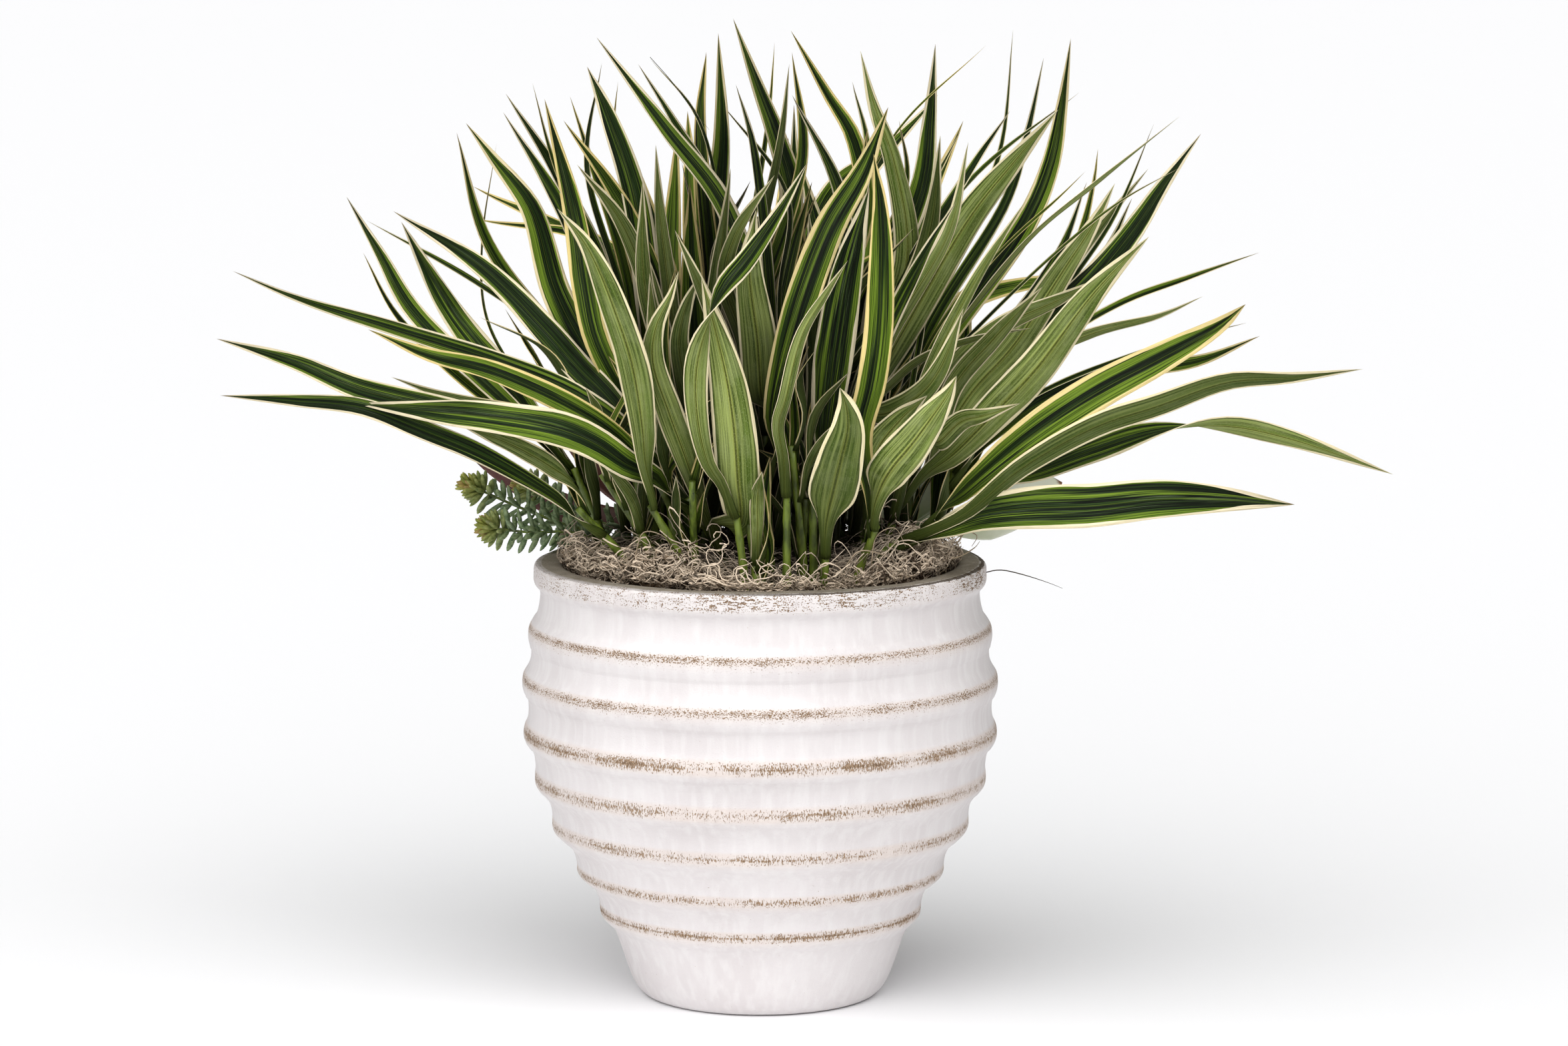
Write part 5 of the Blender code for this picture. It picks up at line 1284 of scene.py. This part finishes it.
# Sedum: root x, y, then x, z and depth along each stem as the front view shows it, in centimetres
sedum = {
    "sprays": [
        (-11.2, 7.6, (-14.5, 36.4, 7.8), (-18.2, 37.8, 8.2), (-22, 39.5, 8.6)),
        (-12.4, 4.4, (-14.6, 35.9, 4.6), (-17.6, 35.9, 5), (-20.7, 36.3, 5.4)),
        (-9.4, 9.6, (-12.6, 36.8, 10.4), (-15.6, 38.3, 11), (-18, 39.6, 11.4)),
    ],
    "stalk": (6, 13, (3, 6, 9)),
    "stemRadius": 0.0012,
    "rootDepth": 0.03,
    "leafLength": 0.0192,
    "leafThickness": 0.0051,
    "lengthShare": (0.82, 1.05),
    "thicknessShare": (0.85, 1.08),
    "flatness": 0.82,
    "bow": -0.0016,
    "beadShape": (0.66, 0.76, 0.9, 1, 1.06, 1.04, 0.86),  # how much each ring of a leaf is widened
    "whorls": 14,
    "whorlLeaves": 3,
    "whorlTurn": 1.1,
    "turnSpread": (-0.35, 0.35),
    "whorlRise": (0.2, 0.7),
    "headWhorls": 7,
    "headLeaves": 7,
    "headShrink": 0.07,
    "headRise": (0.1, 0.28),  # of the first whorl of the head, and what each next one adds
    "headGlow": (0.45, 0.12),
    "stemGlow": 0.12,
    "leafyFrom": 0.16,
    "headFrom": 0.87,
    "steps": 60,
    "seed": 3,
}


def sedumFinish():
    r = Recipe("sedumLeaf", {"Specular IOR Level": 0.35})
    tone, head = r.mark("tone"), r.mark("head")
    blotch = r.noise(r.place(), 260, 3)
    colour = r.coats(
        r.blend(blotch, 0.3, 0.7, (84, 108, 72), (150, 168, 126)),
        (head * 0.85, r.blend(blotch, 0.3, 0.7, (118, 126, 40), (176, 172, 78))),
        (r.rise(tone, 0.7, 0.95) * 0.4, (140, 156, 128)),
        (r.rise(head * tone, 0.55, 0.9) * 0.5, (172, 116, 58)),
    )
    r.finish({"Base Color": colour, "Roughness": 0.5 + blotch * 0.15, "Normal": r.bump(blotch, 0.0004)})
    return r.material


def modelBead(finish):  # one fat pointed leaf, a unit long up Z
    rings = len(sedum["beadShape"]) + 1
    bead = primitive(bpy.ops.mesh.primitive_uv_sphere_add, segments=8, ring_count=rings, radius=0.5,
                     location=(0, 0, 0.5))
    bpy.ops.object.mode_set(mode="EDIT")
    for row, wide in enumerate(sedum["beadShape"], 1):
        height = 0.5 - 0.5 * math.cos(math.pi * row / rings)
        pick(bead, "VERT", lambda v: abs(v.co.z - height) < 0.01)
        bpy.ops.transform.resize(value=(wide, wide, 1))
    bpy.ops.object.mode_set(mode="OBJECT")
    bead.data.materials.append(finish)
    return bead


def layBead(bead, root, along, aim, size, draw):  # a copy of the leaf, set on its stem
    length = sedum["leafLength"] * draw.uniform(*sedum["lengthShare"]) * size
    first = unit(np.cross(aim, (0.3, 0.2, 1)))
    second = np.cross(aim, first)
    copy = copyOf(bead)
    flat = pointsOf(copy)
    bow = flat[:, 2:] * (1 - flat[:, 2:]) * sedum["bow"] * along
    wide = sedum["leafThickness"] * draw.uniform(*sedum["thicknessShare"]) * size**0.5
    across = first * flat[:, :1] * wide + second * flat[:, 1:2] * wide * sedum["flatness"]
    movePoints(copy, root + aim * flat[:, 2:] * length + across + bow)
    paint(copy, "tone", draw.random())
    return copy


def growSpray(bead, stalk, rootX, rootY, course, draw):
    x, y = rootX * cm, rootY * cm
    start = np.array((x, y, mossHeight(x, y) + grass["uprightRise"]))
    places = [start, start + (0, 0, 2 * grass["uprightRise"])] + [fromFront(*place) for place in course]
    steps, whorls, headFrom = sedum["steps"], sedum["whorls"], sedum["headFrom"]
    fine = smoothCurve(places, np.linspace(0, 1, steps + 1))
    thick = sedum["stemRadius"]
    pieces = [bendRod(stalk, [start - (0, 0, sedum["rootDepth"])] + places, (thick, thick, thick * 0.8), 0.8)]
    paint(pieces[0], "head", 0.0)
    for whorl in range(whorls + sedum["headWhorls"]):
        count, rise, size = sedum["whorlLeaves"], draw.uniform(*sedum["whorlRise"]), 1
        share = sedum["leafyFrom"] + (headFrom - sedum["leafyFrom"]) * whorl / whorls
        inHead = whorl - whorls
        if inHead >= 0:
            first, more = sedum["headRise"]
            count, rise, size = sedum["headLeaves"], first + more * inHead, 1 - sedum["headShrink"] * inHead
            share = headFrom + (1 - headFrom) * inHead / (sedum["headWhorls"] - 1)
        step = round(steps * share)
        along = unit(fine[min(step + 1, steps)] - fine[step - 1])
        side = unit(np.cross(along, (0, 0, 1)))
        other = np.cross(side, along)
        first, more = sedum["headGlow"]
        for leaf in range(count):
            angle = whorl * sedum["whorlTurn"] + leaf * 2 * math.pi / count
            angle += draw.uniform(*sedum["turnSpread"])
            aim = unit(math.cos(angle) * side + math.sin(angle) * other + along * rise)
            copy = layBead(bead, fine[step], along, aim, size, draw)
            glow = min(1, first + more * inHead) if inHead >= 0 else sedum["stemGlow"] * draw.random()
            paint(copy, "head", glow)
            pieces.append(copy)
    return pieces


def growSedum():
    bead = modelBead(sedumFinish())
    stalk = modelRod("sedumStalk", *sedum["stalk"], stemFinish())
    draw = random.Random(sedum["seed"])
    for number, (rootX, rootY, *course) in enumerate(sedum["sprays"], 1):
        pieces = growSpray(bead, stalk, rootX, rootY, course, draw)
        finished(joined(f"sedumSpray{number}", pieces), "sedum", f"sedum_spray_{number}")
    discard(bead, stalk)


growSedum()
print("sedum grown")


# Rosettes: root x, y, leaf width, thickness and widest place, then each leaf's tip x, z, depth and roll
rosettes = {
    "pale": (11, 7.4, 5, 0.55, 0.74,
             [(22.8, 39.7, 9, 62), (17, 37.6, 15.5, 20), (10.5, 38.6, 16.5, 0), (13, 40.5, 11, 0),
              (5.5, 37.6, 13.5, -10)]),
    "maroon": (-6.2, 11.6, 2.8, 0.5, 0.4,
               [(-21.4, 41.2, 17, 45), (-15.5, 44, 21, 10), (-8, 39.5, 21.5, 0), (-8.5, 40.2, 15.5, 0),
                (-0.2, 38.4, 18.5, 0)]),
    "paleColours": [(168, 184, 132), (214, 216, 196), (226, 226, 210), (126, 84, 52)],
    "maroonColours": [(74, 50, 40), (84, 42, 40), (108, 64, 56), (60, 34, 30)],
    # in metres and shares of a leaf
    "stalk": (12, 13, ()),
    "stemRadius": 0.006,
    "topRadius": 0.00945,
    "heartRise": 0.018,
    "topRise": 0.022,
    "grid": (10, 22),
    "steps": 41,
    "rise": 0.16,
    "cup": 0.25,
    "baseWidth": 0.3,
}


def fleshFinish(name, base, tip, edge, point):
    r = Recipe(name, {"Specular IOR Level": 0.4})
    _, v, across = r.leafPlace()
    cloud = r.noise(r.place(), 60, 4)
    colour = r.coats(
        r.blend(v + (cloud - 0.5) * 0.4, 0.1, 0.75, base, tip),
        (r.rise(across + (cloud - 0.5) * 0.2, 0.8, 0.98) * 0.5, edge),
        (r.rise(v, 0.965, 0.99), point),
    )
    r.finish({"Base Color": colour, "Roughness": 0.5 + cloud * 0.15,
              "Normal": r.bump(r.noise(r.place(), 240, 3), 0.0005)})
    return r.material


def modelFlesh(finish):  # one thick flat leaf, a unit long and wide
    columns, rows = rosettes["grid"]
    leaf = primitive(bpy.ops.mesh.primitive_grid_add, x_subdivisions=columns, y_subdivisions=rows, size=1,
                     location=(0, 0.5, 0))
    leaf.data.materials.append(finish)
    applyModifier(leaf, "SOLIDIFY", {"thickness": 1, "offset": 0})
    return leaf


def bendFlesh(master, heart, tip, roll, width, thickness, widest):  # a copy of the leaf, cupped and bent
    rise = np.array((0, 0, rosettes["rise"] * np.linalg.norm(tip - heart)))
    rows = np.linspace(0, 1, rosettes["steps"])
    spine = smoothCurve([heart, heart * 0.55 + tip * 0.45 - rise * 0.7, tip], rows)
    along = alongOf(spine)
    flatSide = unitRows(np.cross(along, (0, 0, 1)))
    up = np.cross(flatSide, along)
    angle = (np.radians(roll) * np.minimum(1, rows * 2))[:, None]
    side = np.cos(angle) * flatSide + np.sin(angle) * up
    reach = np.where(rows < widest, rows / widest, (1 - rows) / (1 - widest))
    base = rosettes["baseWidth"] * np.where(rows < widest, 1, reach**0.5)
    half = width / 2 * (base + (1 - rosettes["baseWidth"]) * np.sin(math.pi / 2 * reach) ** 0.8)
    copy = copyOf(master)
    flat = pointsOf(copy)
    share, across = np.clip(flat[:, 1], 0, 1), np.clip(2 * flat[:, 0], -1, 1)
    spineAt, sideAt, normalAt = readAt(share, rows, spine, side, np.cross(side, along))
    halfAt, reachAt = np.interp(share, rows, half), np.interp(share, rows, reach)
    rounded = 0.35 + 0.65 * np.sqrt(np.maximum(0, 1 - across**2))
    thick = thickness * rounded * (0.3 + 0.7 * reachAt**0.5) * 0.5
    lift = halfAt * rosettes["cup"] * across**2 + np.sign(flat[:, 2]) * thick
    movePoints(copy, spineAt + sideAt * (across * halfAt)[:, None] + normalAt * lift[:, None])
    return copy


def growRosette(kind):
    rootX, rootY, width, thickness, widest, leaves = rosettes[kind]
    x, y = rootX * cm, rootY * cm
    level = mossHeight(x, y)
    finish = fleshFinish(kind + "Flesh", *rosettes[kind + "Colours"])
    master = modelFlesh(finish)
    stalk = modelRod("rosetteStalk", *rosettes["stalk"], finish)
    heights = (grass["holeFloor"] + gap, level + grass["uprightRise"], level + rosettes["topRise"])
    radii = (rosettes["stemRadius"], rosettes["stemRadius"], rosettes["topRadius"])
    pieces = [bendRod(stalk, [np.array((x, y, z)) for z in heights], radii, 0.5)]
    heart = np.array((x, y, level + rosettes["heartRise"]))
    for tipX, tipZ, depth, roll in leaves:
        tip = fromFront(tipX, tipZ, depth)
        pieces.append(bendFlesh(master, heart, tip, roll, width * cm, thickness * cm, widest))
    finished(joined(kind + "Rosette", pieces), kind, kind + "_rosette")
    discard(master, stalk)


growRosette("pale")
growRosette("maroon")
print("rosettes grown")


# What is left of the plain solids under the strands: name, dark and light colour, and how fine the tangle is
cores = {
    # the moss core's dark browns are partly the moss's own colour and partly painted shade in the depth under
    # the strands
    "moss": ("mossCore", (34, 26, 18), (92, 76, 58), 240),
    "filler": ("foam", (48, 58, 38), (66, 78, 54), 500),
}


def coreFinish(name, dark, light, scale):
    r = Recipe(name, {"Specular IOR Level": 0.1, "Roughness": 0.95})
    tangle = r.noise(r.place(), scale, 6)
    r.finish({"Base Color": r.blend(tangle, 0.35, 0.7, dark, light), "Normal": r.bump(tangle, 0.003)})
    return r.material


for node, core in cores.items():
    finish = coreFinish(*core)
    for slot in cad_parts[node].material_slots:
        slot.material = finish


studio = {
    "floor": (252, 252, 253),
    "floorSize": 90,
    "floorDrop": 0.0005,
    "sky": 0,
    "lens": 116.5,
    "sensor": 36,
    "farthest": 200,
    "aim": (0.018, 0, 0.366),
    # name, strength, how far the light spreads in degrees, and where it comes from
    "suns": [("keySun", 3.7, 90, (-0.25, -0.9, 1.3)), ("fillSun", 0.4, 40, (0.8, -0.65, 1))],
}


def aimAt(thing, place, target):  # stands a light or the camera at a place, looking at the target
    away = np.asarray(place, float) - np.asarray(target, float)
    thing.location = place
    thing.rotation_euler = (math.acos(away[2] / np.linalg.norm(away)), 0, math.atan2(away[0], -away[1]))


def setStudio():
    floor = primitive(bpy.ops.mesh.primitive_plane_add, size=studio["floorSize"],
                      location=(0, 0, -studio["floorDrop"]))
    floor.name = "floor"
    pale = {"Base Color": shade(*studio["floor"]), "Roughness": 0.9, "Specular IOR Level": 0.1}
    floor.data.materials.append(Recipe("paleFloor", pale).material)
    world = bpy.data.worlds.new("studio")
    bpy.context.scene.world = world
    world.use_nodes = True
    sky = world.node_tree.nodes["Background"]
    sky.inputs["Color"].default_value = (1, 1, 1, 1)
    sky.inputs["Strength"].default_value = studio["sky"]
    for name, strength, spread, place in studio["suns"]:
        light = bpy.data.lights.new(name, "SUN")
        light.energy = strength
        light.angle = math.radians(spread)
        lamp = bpy.data.objects.new(name, light)
        bpy.context.scene.collection.objects.link(lamp)
        aimAt(lamp, place, (0, 0, 0))
    view = bpy.data.cameras.new("view")
    view.lens = studio["lens"]
    view.sensor_width = studio["sensor"]
    view.clip_end = studio["farthest"]
    camera = bpy.data.objects.new("view", view)
    bpy.context.scene.collection.objects.link(camera)
    aimAt(camera, eye - footLevel, studio["aim"] - footLevel)
    bpy.context.scene.camera = camera
    bpy.context.scene.view_settings.view_transform = "Standard"


setStudio()
print("studio set")
